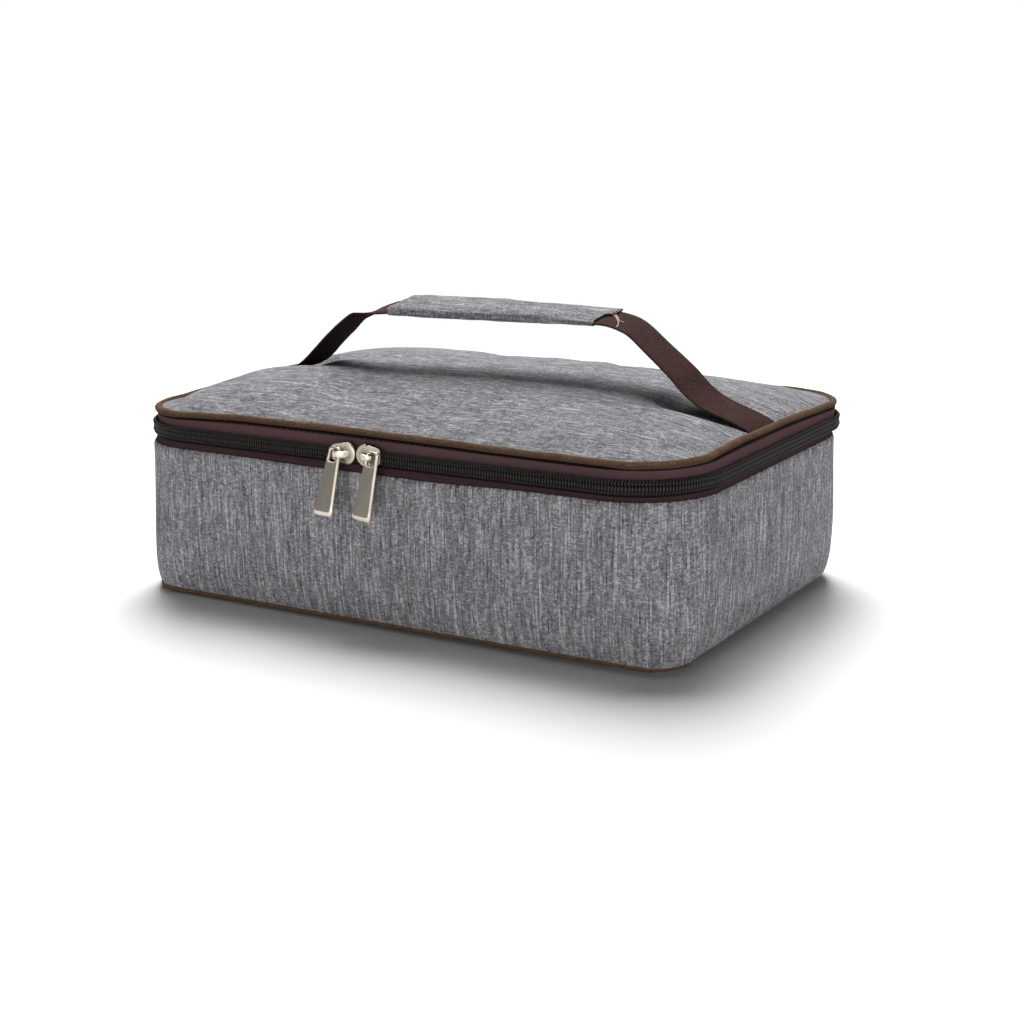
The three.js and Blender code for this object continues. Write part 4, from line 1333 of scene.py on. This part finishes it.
def slider_patches():
    """A slider with its wide end towards +X: a domed front plate, a back plate, the neck between them
    and the bridge that arches from the wide end to the tail. Its origin is on the zip's centre line at
    the rim's face."""
    zips = of("bag_zip")
    half, tall, tail_half, neck_in = zips.slider / 2, zips.slider_half, 0.0031, 0.0022
    arc = np.linspace(-np.pi / 2, np.pi / 2, 24)
    nose = np.stack([half - tall + tall * np.cos(arc), tall * np.sin(arc)], -1)
    tail = rounded(
        [(-half, -tail_half), (half - tall, -tall), (half - tall, tall), (-half, tail_half)], 0.0011, 120
    )
    tail = tail[tail[:, 0] < half - tall - 0.0001]
    order = np.argsort(np.arctan2(tail[:, 1], -tail[:, 0] + 0.002))
    outline = even(np.vstack([nose, tail[order][::-1]]), 72)
    front, front_polish_and_highlight = plate(outline, back=-0.0013, front=-0.0025, edge=0.00045, crown=0.00035)
    back, back_polish_and_highlight = plate(outline, back=0.0032, front=0.0022, edge=0.00035, crown=0.0)
    box = rounded([(-0.001, -0.0003), (0.001, -0.0003), (0.001, 0.0003), (-0.001, 0.0003)], 0.00015, 24)
    depth = np.array([-0.0018, -0.001, 0.001, 0.0027])
    neck = grid(box[None, :, 0] + half - neck_in, depth[:, None], box[None, :, 1])
    leg = -half + LEG_IN
    knots = [
        (leg, -0.0020), (leg, -0.0036), (leg + 0.0004, -0.0051), (leg + 0.0016, -0.0057),
        (leg + 0.0034, -0.0055), (leg + 0.0050, -0.0046), (leg + 0.0061, -0.0032), (leg + 0.0066, -0.0021),
    ]
    arch = smooth_line(knots, count=40)
    run = np.linspace(0, 1, len(arch))
    wide = 0.0017 + 0.0011 * np.clip((run - 0.28) / 0.3, 0, 1)
    bridge = strap_of_metal(arch, wide, thick=0.00105)
    return [(front, front_polish_and_highlight), (back, back_polish_and_highlight), (capped(neck), 0.5), (bridge, 0.6)]


def pull_points():
    """A pull hung on the bridge's tail leg: a tapered plate with a window round the leg. Rings run from
    the window over the front to the bevelled edge, and back behind, each ring matched to the others by
    its share of the trip. Their accent is cut down except round the window and in a band along the tip,
    which keep it in full as painted highlight."""
    zips = of("bag_zip")
    leg_deep, leg_wide, clear, above = 0.0016, 0.0018, 0.0003, 0.0012
    half_top, half_tip = 0.0028, 0.0044
    reach = np.hypot(leg_deep, leg_wide) / 2 + clear
    top, tip = reach + above, -zips.pull

    def plate_ring(side, end, radius):
        """The plate's outline, taken in at the sides and at the tip."""
        return rounded(
            [(-half_top + side, top - side / 2), (half_top - side, top - side / 2),
             (half_tip - side, tip + end), (-half_tip + side, tip + end)], radius, 96
        )

    outer = plate_ring(0.0, 0.0, 0.0011)
    window = rounded(
        [(-reach, reach), (reach, reach), (reach + 0.0002, -0.0034), (-reach - 0.0002, -0.0034)], 0.0006, 96
    )
    round_in, front, back = 0.00022, -0.0008, 0.0008
    rings = [
        (inward(window, -0.0005), front, 0.0),
        (plate_ring(0.0007, 0.0016, 0.0009), front, 0.0),
        (plate_ring(0.00064, 0.0015, 0.0009), front + 0.00002, 0.6),
        (plate_ring(0.00056, 0.0013, 0.0009), front + 0.00014, 1.0),
        (plate_ring(0.0001, 0.00015, 0.0011), front + 0.00075, 1.0),
        (outer, front + 0.00098, 0.9),
        (outer, back - 0.0003, 0.7),
        (inward(outer, 0.0004), back, 0.3),
        (inward(outer, 0.0005), back, 0.0),
        (inward(window, -round_in), back, 0.3),
        (window, back - round_in, 0.6),
        (window, front + round_in, 0.8),
        (inward(window, -round_in), front, 1.0),
        (inward(window, -0.0004), front, 0.8),
    ]
    points, polish_and_highlight = ring_stack(rings)
    # Painted highlight: full brightness is kept along the tip's lower edge and round the window.
    front_rings, tip_highlight_start, tip_highlight_end = 9, 0.0205, 0.0236
    tip_highlight = smoothstep(-points[..., 2], tip_highlight_start, tip_highlight_end)
    tip_highlight[front_rings:] = 1.0
    return points, polish_and_highlight * (0.58 + 0.42 * tip_highlight)


class BAG_OT_sliders(bpy.types.Operator):
    """Casts both sliders, mouth to mouth, and hangs their pulls"""

    bl_idname = "bag.sliders"
    bl_label = "Sliders and pulls"

    def execute(self, context):
        tub, zips = of("bag_tub"), of("bag_zip")
        between, pivot_out = 0.0004, 0.0043
        for name, mouth, tilt, lean in (("left", 1, 0.037, 0.316), ("right", -1, 0.092, 0.224)):
            middle = zips.meet - mouth * (zips.slider + between) / 2
            place = np.array([middle, -tub.half_depth, zips.chain_z + zips.slider_lift])
            mirror = np.array([mouth, 1, 1])
            patches = [patch(points * mirror + place, accent=polish_and_highlight) for points, polish_and_highlight in slider_patches()]
            body = sew(f"{name}_slider_body", patches, nickel("bright_nickel", metallic=1.0), weld=True)
            fit(body, f"{name}_slider", "nickel", f"slider_{name}")
            points, polish_and_highlight = pull_points()
            pivot = place + np.array([-mouth * (zips.slider / 2 - LEG_IN), -pivot_out, 0])
            hanging = self.turned(points, tilt, lean) + pivot
            pull = band(f"{name}_pull_plate", hanging, nickel("satin_nickel", metallic=0.55), polish_and_highlight)
            fit(pull, f"{name}_pull", "nickel", f"pull_{name}")
        return {"FINISHED"}

    def turned(self, points, tilt, lean):
        """Points turned by a tilt in the plane of the front, and then leant out by a turn about X."""
        x, y, z = np.moveaxis(points, -1, 0)
        x, z = x * np.cos(tilt) + z * np.sin(tilt), z * np.cos(tilt) - x * np.sin(tilt)
        return np.stack([x, y * np.cos(lean) + z * np.sin(lean), z * np.cos(lean) - y * np.sin(lean)], -1)


# Lid


def lid_droop(x, y):
    """How far the slack lid hangs below its level seam: smooth steps towards the rear right, the front
    left and the front right."""
    lid = of("bag_lid")
    rear = lid.rear_droop * smoothstep(y, 0.0, 0.08) * smoothstep(x, -0.02, 0.06)
    front = lid.front_droop * smoothstep(-y, 0.03, 0.085) * smoothstep(x, -0.03, 0.09)
    return rear + front + lid.left_droop * smoothstep(-y, 0.0, 0.065) * smoothstep(-x, 0.06, 0.12)


def hung(points, still=-1.0, moved=-0.5):
    """Points of the lid's edge lowered with its droop, in full above the moved height and not at all
    below the still one."""
    x, y, z = np.moveaxis(points, -1, 0)
    share = np.clip((z - still) / (moved - still), 0, 1)
    return np.stack([x, y, z - share * lid_droop(x, y)], -1)


def lid_height(x, y):
    """Height of the padded top: its rise is the product of one falling power along X, lower at the rear
    left and where the strap presses it in at the left, and one along Y, fuller at the rear right, less
    the droop."""
    tub, lid, handle = of("bag_tub"), of("bag_lid"), of("bag_handle")
    wide, deep = tub.half_width - lid.inset, tub.half_depth - lid.inset
    pressed = smoothstep(-np.abs(y - handle.y), -0.0225, -0.0140)
    left = lid.power_left + (lid.power_rear - lid.power_left) * smoothstep(y, -0.005, 0.02)
    left = left + (lid.power_pressed - left) * pressed
    along = 1 - np.minimum(np.abs(x) / wide, 1) ** np.where(x < 0, left, lid.power_right)
    fuller = lid.fuller * smoothstep(x, -0.02, 0.03) * (y > 0)
    across = 1 - np.minimum(np.abs(y) / deep, 1) ** (lid.power_y + fuller)
    return lid.edge_z + lid.crown * along * across - lid_droop(x, y)


def lid_layer(edge, top, bottom):
    """A layer under the lid's cloth: rings of the lid's outline that shrink to the middle, at two depths
    below the surface, joined by a rounded edge."""
    lid = of("bag_lid")
    s = full_turn(step=0.004)
    rim = around(s, lid.inset + edge, 0.0, lid.tighten)[..., :2]
    share = np.concatenate([np.linspace(0, 0.9, 13), [0.95, 0.985, 1.0]])
    drop = np.repeat([top, bottom], len(share))
    drop[len(share) - 2:len(share) + 2] += (bottom - top) * np.array([0.06, 0.3, -0.3, -0.06])
    flat = rim * there_and_back(share)[:, None]
    return np.concatenate([flat, (lid_height(flat[..., 0], flat[..., 1]) - drop)[..., None]], -1)


def lid_sheet(n, m):
    """The lid's cloth as a square grid drawn onto the rounded outline: a point's ring is the larger of
    its two shares, and its place on that ring follows the square's edge. The outer ring is tucked under
    the piping."""
    lid, tuck_out, tuck_down = of("bag_lid"), 0.0006, 0.0008
    a, b = np.meshgrid(np.linspace(-1, 1, n), np.linspace(-1, 1, m), indexing="ij")
    ring = np.maximum(np.maximum(np.abs(a), np.abs(b)), 1e-9)
    p, q = a / ring, b / ring
    on_rear = np.where(p <= 0, -p, 8 - p)
    on_side = np.where(p < 0, 2 - q, 6 + q)
    trip = np.where(np.abs(q) >= np.abs(p), np.where(q > 0, on_rear, 4 + p), on_side)
    breaks = outline_breaks()
    turns = (breaks[1:8:2] + breaks[2:9:2]) / 2
    s = np.interp(trip, [0, 1, 3, 5, 7, 8], [0, *turns, breaks[-1]])
    seam = ring > 1 - 1e-6
    edge = around(s, lid.inset, 0.0, lid.tighten)[..., :2]
    tucked = around(s, lid.inset - tuck_out, 0.0, lid.tighten)[..., :2]
    share = np.minimum(ring / (1 - 2 / m), 1.0)[..., None]
    flat = np.where(seam[..., None], tucked, edge * share)
    low = lid.edge_z - tuck_down - lid_droop(flat[..., 0], flat[..., 1])
    z = np.where(seam, low, lid_height(flat[..., 0], flat[..., 1]))
    return np.concatenate([flat, z[..., None]], -1), seam


def settle(obj, held, pressure, frames):
    """Runs the cloth on a piece with its seam held and a filling pressure, and gives its points once
    settled."""
    group = obj.vertex_groups.new(name="seam")
    group.add(np.flatnonzero(held).tolist(), 1.0, "REPLACE")
    modifier = obj.modifiers.new("settle", "CLOTH")
    cloth = modifier.settings
    cloth.vertex_group_mass = "seam"
    cloth.use_pressure = True
    cloth.uniform_pressure_force = pressure
    cloth.shrink_min = -0.012
    cloth.effector_weights.gravity = 0
    modifier.point_cache.frame_start, modifier.point_cache.frame_end = 1, frames
    scene = bpy.context.scene
    for step in range(1, frames + 1):
        scene.frame_set(step)
    shown = obj.evaluated_get(bpy.context.evaluated_depsgraph_get())
    points = np.empty(len(obj.data.vertices) * 3, np.float32)
    shown.data.vertices.foreach_get("co", points)
    obj.modifiers.remove(modifier)
    obj.vertex_groups.remove(group)
    scene.frame_set(1)
    return points.reshape(-1, 3).astype(float)


class BAG_OT_lid(bpy.types.Operator):
    """Stretches the lid's cloth over its foam and lets it settle"""

    bl_idname = "bag.lid"
    bl_label = "Lid"

    def execute(self, context):
        tub, lid, handle = of("bag_tub"), of("bag_lid"), of("bag_handle")
        sheet, seam = lid_sheet(n=112, m=78)
        from_x, from_y, shorter = 0.47, 0.31, 2.0
        uv = np.stack([sheet[..., 1] + from_y, shorter * (sheet[..., 0] + from_x)], -1)
        beside = np.abs(sheet[..., 1] - handle.y)
        # Gathers beside the strap's ends: ridges in the bump, with painted light and shade in the cloth's
        # colour.
        gathers = smoothstep(np.abs(sheet[..., 0]), 0.094, 0.117) * smoothstep(-beside, -0.046, -0.018)
        top = sew("lid_top", [patch(sheet, (False, False), uv, gathers)], melange_cloth(), closed=False)
        rest = sheet.reshape(-1, 3)
        moved = settle(top, seam.reshape(-1), lid.pressure, frames=20) - rest
        far = np.linalg.norm(moved, axis=1)
        moved *= (lid.give * np.tanh(far / lid.give) / np.maximum(far, 1e-9))[:, None]
        moved[:, 2] = np.maximum(moved[:, 2], -tub.gap * np.tanh(-moved[:, 2] / tub.gap))
        near_strap = np.clip((0.019 - np.abs(rest[:, 1] - handle.y)) / 0.004, 0, 1)
        near_seam = np.clip((np.abs(rest[:, 0]) - 0.085) / 0.008, 0, 1)
        moved[:, 2] *= np.where(moved[:, 2] > 0, 1 - near_strap * near_seam, 1)
        top.data.vertices.foreach_set("co", (rest + moved).astype(np.float32).ravel())
        top.data.update()
        work = bmesh.new()
        work.from_mesh(top.data)
        if sum(face.normal.z for face in work.faces) < 0:
            bmesh.ops.reverse_faces(work, faces=work.faces)
        work.to_mesh(top.data)
        work.free()
        smooth = top.modifiers.new("smooth", "SUBSURF")
        smooth.levels = smooth.render_levels = 1
        cloth = top.modifiers.new("cloth", "SOLIDIFY")
        cloth.thickness, cloth.offset = tub.cloth, -1
        fit(top, "lid", "cloth", "lid_cloth")
        return {"FINISHED"}


# Handle


# Middle line of the strap in X and Z and its roll towards the rear, from inside the grip along the riser and
# the lid to the seam, per side
STRAP_KNOTS = {
    "right": (
        (0.0063, 0.1214, 0.085), (0.020, 0.1214, 0.085), (0.040, 0.1212, 0.105), (0.050, 0.1210, 0.110),
        (0.057, 0.1206, 0.105), (0.062, 0.1199, 0.085), (0.067, 0.1185, 0.055), (0.072, 0.1161, 0.020),
        (0.080, 0.1104, 0), (0.089, 0.1043, 0), (0.094, 0.1006, 0), (0.0978, 0.0970, 0),
        (0.1013, 0.0940, 0), (0.1055, 0.0912, 0), (0.110, 0.0891, 0), (0.116, 0.0870, 0),
        (0.122, 0.0849, 0), (0.126, 0.0832, 0), (0.1297, 0.0811, 0),
    ),
    "left": (
        (0.0057, 0.1214, 0.11), (-0.015, 0.1217, 0.13), (-0.030, 0.1217, 0.13), (-0.040, 0.1214, 0.15),
        (-0.046, 0.12054, 0.104), (-0.052, 0.11900, -0.013), (-0.055, 0.11797, -0.085),
        (-0.058, 0.11700, -0.150), (-0.0605, 0.11636, -0.185), (-0.063, 0.11576, -0.222),
        (-0.0655, 0.11490, -0.261), (-0.068, 0.11343, -0.232), (-0.072, 0.11061, -0.121),
        (-0.076, 0.10752, 0.001), (-0.080, 0.10425, 0.070), (-0.084, 0.1009, 0.085),
        (-0.088, 0.0973, 0.085), (-0.0912, 0.0944, 0.06), (-0.0945, 0.0920, 0.03), (-0.098, 0.0902, 0.01),
        (-0.102, 0.0888, 0), (-0.108, 0.0873, 0), (-0.115, 0.0859, 0), (-0.122, 0.0843, 0),
        (-0.1297, 0.0811, 0),
    ),
}


def grip_shape(along):
    """The grip's middle height, its roll towards the rear and its half thickness, along its length: it
    stands higher to the left, and is flattened and turned up at the right end."""
    right = smoothstep(along, 0.018, 0.050)
    left = smoothstep(-along, 0.034, 0.049)
    high = smoothstep(-along, -0.017, 0.005)
    return (
        0.1215 + 0.0004 * high - 0.0004 * right,
        0.085 + 0.045 * high + 0.028 * right,
        0.00255 - 0.0011 * right - 0.0003 * left,
    )


def strap_points(side):
    """The webbing: a flat section with round selvedges carried along the strap's line, turned and rolled
    with the slack grip, aslant at the left fold, narrower near the sleeve, and laid on the lid's own
    slope where it lies there."""
    handle = of("bag_handle")
    *line, roll = smooth_line(STRAP_KNOTS[side], 150).T
    line, roll = np.stack(line, -1), roll[:, None]
    sign = 1 if side == "right" else -1
    ahead = sign * unit(np.gradient(line, axis=0))
    from_grip = np.maximum(np.abs(line[:, 0] - handle.shift) - handle.grip / 2, 0)
    yaw = handle.yaw * (1 - smoothstep(from_grip, 0.001, 0.045))
    wide = handle.folded + (handle.width - handle.folded) * smoothstep(from_grip, 0.004, 0.014)
    angle = circle(STRAP_SIDES)
    across = wide[:, None] / 2 * soft_power(np.cos(angle), 0.35)
    over = handle.thick / 2 * soft_power(np.sin(angle), 0.35)
    x = line[:, :1] - ahead[:, 1:] * over
    z = line[:, 1:] + ahead[:, :1] * over + roll * across
    on_lid = smoothstep(np.abs(line[:, :1]), 0.100, 0.114)
    under = np.clip(line[:, :1], -0.129, 0.129)
    z = z + on_lid * (lid_height(under, handle.y + across) - lid_height(under, 0))
    left = -line[:, :1]
    dx = x - handle.shift
    lean = handle.slant * smoothstep(left, 0.040, 0.057) * (1 - smoothstep(left, 0.063, 0.080))
    c, s = np.cos(yaw)[:, None], np.sin(yaw)[:, None]
    return np.stack([handle.shift + c * dx - (s + lean) * across, handle.y + s * dx + c * across, z], -1)


def in_grip(points):
    """Points drawn along the grip, turned by its yaw and moved to its place."""
    handle = of("bag_handle")
    c, s = np.cos(handle.yaw), np.sin(handle.yaw)
    x, y, z = np.moveaxis(points, -1, 0)
    return np.stack([handle.shift + c * x - s * y, handle.y + s * x + c * y, z], -1)


def sleeve_points():
    """The grip's sleeve: a soft flat section carried along the grip outside and back inside. Its lap
    seam runs along the top: the near flap lies over the far one, which is longer at the right end and
    leaves the webbing bare there."""
    handle = of("bag_handle")
    angle = circle(80)[None]
    across, over = soft_power(np.cos(angle), 0.5), soft_power(np.sin(angle), 0.62)
    half = handle.grip / 2
    seam, longer, lap_height, cloth = 0.2, 0.0036, 0.00045, 0.0007
    far_flap = (across > seam) & (over > -0.6)
    near_top = (across <= seam) & (over > 0.3)
    right = half + longer * far_flap + 0.0003 * np.sin(5 * angle)
    left = -half + 0.0026 + 0.0014 * across + 0.0004 * np.sin(4 * angle + 1)
    t = 0.5 - 0.5 * np.cos(np.linspace(0, np.pi, 64))[:, None]
    x = left + (right - left) * t
    middle, roll, tall = grip_shape(x)
    lap = lap_height * near_top * np.exp((across - seam) / 0.3)
    rough = 0.00010 * np.sin(x * 260 + 3 * angle) * np.sin(x * 90 + 2 * angle)
    rough = rough + 0.00006 * np.sin(x * 520 - 5 * angle)

    def shell(inset):
        """The section taken in by inset. Only the outer one is rough and lapped."""
        y = (handle.sleeve_half - inset) * across
        push = (lap + rough) * (inset < 1e-6)
        z = middle + roll * y + (tall - inset) * over + push * np.sign(over)
        return grid(x, y, z)

    outer, inner = shell(0.0), shell(cloth)
    hem = np.array([0.0003, 0, 0])
    rim_right = (outer[-1:] + inner[-1:]) / 2 + hem
    rim_left = (outer[:1] + inner[:1]) / 2 - hem
    return in_grip(np.concatenate([rim_left, outer, rim_right, inner[::-1]]))


def crosswise(points):
    """Pattern coordinates in metres of a grid closed both ways, with the streaks along its first
    direction."""
    return metres(closed_up(points, (True, True)))[..., ::-1]


def pad_points():
    """The pad inside the sleeve, under the webbing: a flat superellipse carried along the grip."""
    handle = of("bag_handle")
    angle = circle(40)[None]
    x = np.linspace(-handle.grip / 2 + 0.002, handle.grip / 2 - 0.012, 24)[:, None]
    middle, roll, tall = grip_shape(x)
    y = handle.folded / 2 * soft_power(np.cos(angle), 0.4) * 0.97
    thick = (tall - 0.0016) * 0.9
    z = middle + roll * y - tall + 0.0008 + thick + thick * soft_power(np.sin(angle), 0.4)
    return in_grip(capped(grid(x, y, z)))


class BAG_OT_handle(bpy.types.Operator):
    """Sews the strap to both sides of the lid and wraps its middle in the grip"""

    bl_idname = "bag.handle"
    bl_label = "Handle"

    def execute(self, context):
        handle, colours = of("bag_handle"), of("bag_finish")
        # Painted shade: the undersides of both straps are darkened in colour through their accent.
        shaded = smoothstep(-np.sin(circle(STRAP_SIDES)), 0.2, 0.7)
        for name, sign, lift in (("right", 1, 0.106), ("left", -1, 0.093)):
            strap = rod(f"strap_{name}", capped(strap_points(name)), brown_webbing(), shaded)
            fit(strap, None, "webbing", "handle_webbing")
            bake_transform(strap)
        points = sleeve_points()
        cover = sew("grip_cover", [patch(points, (True, True), crosswise(points))], melange_cloth())
        fit(cover, "handle", "cloth", "grip_sleeve")
        pad = rod("grip_pad", pad_points(), white_foam())
        fit(pad, "handle", "foam", "grip_core")
        pale = thread_of("pale_thread", colours.thread)
        strands = [patch(in_grip(tube(line, radius=0.00022))) for line in self.strands()]
        fit(sew("grip_thread", strands, pale, weld=True), "handle", "cloth")
        return {"FINISHED"}

    def strands(self):
        """The loose ends of thread where the lap seam stops: lines across the webbing, given along and
        across the grip and above the strap."""
        handle = of("bag_handle")
        knots = [
            [(0.0495, 0.0046, 0.0006), (0.0512, 0.0034, 0.0005), (0.0535, 0.0012, 0.0003),
             (0.0566, -0.0040, 0.0002), (0.0584, -0.0085, 0.0002), (0.0588, -0.0112, 0.0001),
             (0.0588, -0.0124, -0.0004)],
            [(0.0502, 0.0060, 0.0007), (0.0522, 0.0042, 0.0005), (0.0545, 0.0008, 0.0004),
             (0.0570, -0.0032, 0.0003), (0.0592, -0.0040, 0.0006)],
            [(0.0520, 0.0112, 0.0008), (0.0522, 0.0080, 0.0009), (0.0521, 0.0048, 0.0007),
             (0.0534, 0.0026, 0.0004), (0.0552, -0.0008, 0.0003)],
        ]
        x, middle, rolls = np.array(STRAP_KNOTS["right"]).T
        lines = []
        for line in knots:
            along, across, above = smooth_line(line, 36).T
            place = along + handle.shift
            z = np.interp(place, x, middle) + handle.thick / 2 + above + np.interp(place, x, rolls) * across
            lines.append(np.stack([along, across, z], -1))
        return lines


# Stage


class BAG_OT_stage(bpy.types.Operator):
    """Sets the floor, the lamps and the camera"""

    bl_idname = "bag.stage"
    bl_label = "Stage"

    def execute(self, context):
        scene = context.scene
        scene.view_settings.view_transform = "Standard"
        self.floor()
        self.world(scene)
        for name, values in LAMPS.items():
            self.lamp(name, *values)
        self.camera(scene)
        return {"FINISHED"}

    def floor(self):
        """A wide plane, flat in X and Y, just under the bag."""
        reach = np.linspace(-1.5, 1.5, 5)
        x, y = np.meshgrid(reach, reach, indexing="ij")
        points = grid(x, y, -0.0004)
        sew("studio_floor", [patch(points, (False, False))], studio_floor(), closed=False)

    def world(self, scene):
        """Even light from all round, and plain white where the camera, metal or film looks past the floor."""
        world = scene.world or bpy.data.worlds.new("studio")
        scene.world = world
        world.use_nodes = True
        tree = world.node_tree
        tree.nodes.clear()
        path = Wire(tree, tree.nodes.new("ShaderNodeLightPath").outputs[0])
        mirrored = path.math("MAXIMUM", path.other("Is Glossy Ray"), path.other("Is Transmission Ray"))
        seen = path.math("MAXIMUM", path, mirrored)
        lit = path.node("ShaderNodeBackground", None, {"Color": (0.97, 0.98, 1.0, 1), "Strength": 0.06})
        white = path.node("ShaderNodeBackground", None, {"Color": (1, 1, 1, 1), "Strength": 1.0})
        both = path.node("ShaderNodeMixShader", None, {0: seen, 1: lit, 2: white})
        path.node("ShaderNodeOutputWorld", None, {0: both}, slice(0, 0))

    def lamp(self, name, place, wide, tall, power):
        """A soft panel of light that looks at the bag."""
        data = bpy.data.lights.new(name, "AREA")
        data.shape, data.size, data.size_y, data.energy = "RECTANGLE", wide, tall, power
        obj = bpy.data.objects.new(name, data)
        obj.location = place
        obj.rotation_mode = "QUATERNION"
        obj.rotation_quaternion = (Vector((0, 0, 0.05)) - Vector(place)).to_track_quat("-Z", "Y")
        bpy.context.scene.collection.objects.link(obj)

    def camera(self, scene):
        """The photograph's place and angle: a turn, a height and a distance from the bag's middle, a
        faint roll, and the shift that its frame needs."""
        turn, height, roll = np.radians(CAMERA_ANGLES)
        back = Vector((np.sin(turn) * np.cos(height), -np.cos(turn) * np.cos(height), np.sin(height)))
        data = bpy.data.cameras.new("camera")
        data.sensor_width, data.lens = SENSOR_WIDTH, SENSOR_WIDTH * FOCAL_LENGTH / PHOTO_SIZE
        across, down = PRINCIPAL_POINT
        data.shift_x, data.shift_y = 0.5 - across / PHOTO_SIZE, down / PHOTO_SIZE - 0.5
        data.clip_start = 0.01
        obj = bpy.data.objects.new("camera", data)
        obj.rotation_mode = "QUATERNION"
        obj.location = Vector((0, 0, AIM_HEIGHT)) + back * CAMERA_DISTANCE
        look = (-back).to_track_quat("-Z", "Y")
        obj.rotation_quaternion = look @ Matrix.Rotation(roll, 4, "Z").to_quaternion()
        scene.collection.objects.link(obj)
        scene.camera = obj


class BAG_PT_panel(bpy.types.Panel):
    """The bag's sizes, colours and steps"""

    bl_idname = "BAG_PT_panel"
    bl_label = "Cooler bag"
    bl_space_type = "VIEW_3D"
    bl_region_type = "UI"
    bl_category = "Cooler bag"

    def draw(self, context):
        for step in STEPS:
            self.layout.operator(step.bl_idname)
        for group, kind in GROUPS.items():
            box = self.layout.box()
            for name in kind.__annotations__:
                box.prop(getattr(context.scene, group), name)


STEPS = (
    BAG_OT_stage, BAG_OT_wall, BAG_OT_foam, BAG_OT_liner, BAG_OT_piping, BAG_OT_binding,
    BAG_OT_zip, BAG_OT_hinge, BAG_OT_sliders, BAG_OT_lid, BAG_OT_handle,
)


def register():
    for kind in (*GROUPS.values(), *STEPS, BAG_PT_panel):
        bpy.utils.register_class(kind)
    for group, kind in GROUPS.items():
        setattr(bpy.types.Scene, group, bpy.props.PointerProperty(type=kind))


def unregister():
    for group in GROUPS:
        delattr(bpy.types.Scene, group)
    for kind in reversed((*GROUPS.values(), *STEPS, BAG_PT_panel)):
        bpy.utils.unregister_class(kind)


def main():
    register()
    for step in STEPS:
        family, name = step.bl_idname.split(".")
        getattr(getattr(bpy.ops, family), name)()


if __name__ == "__main__":
    main()
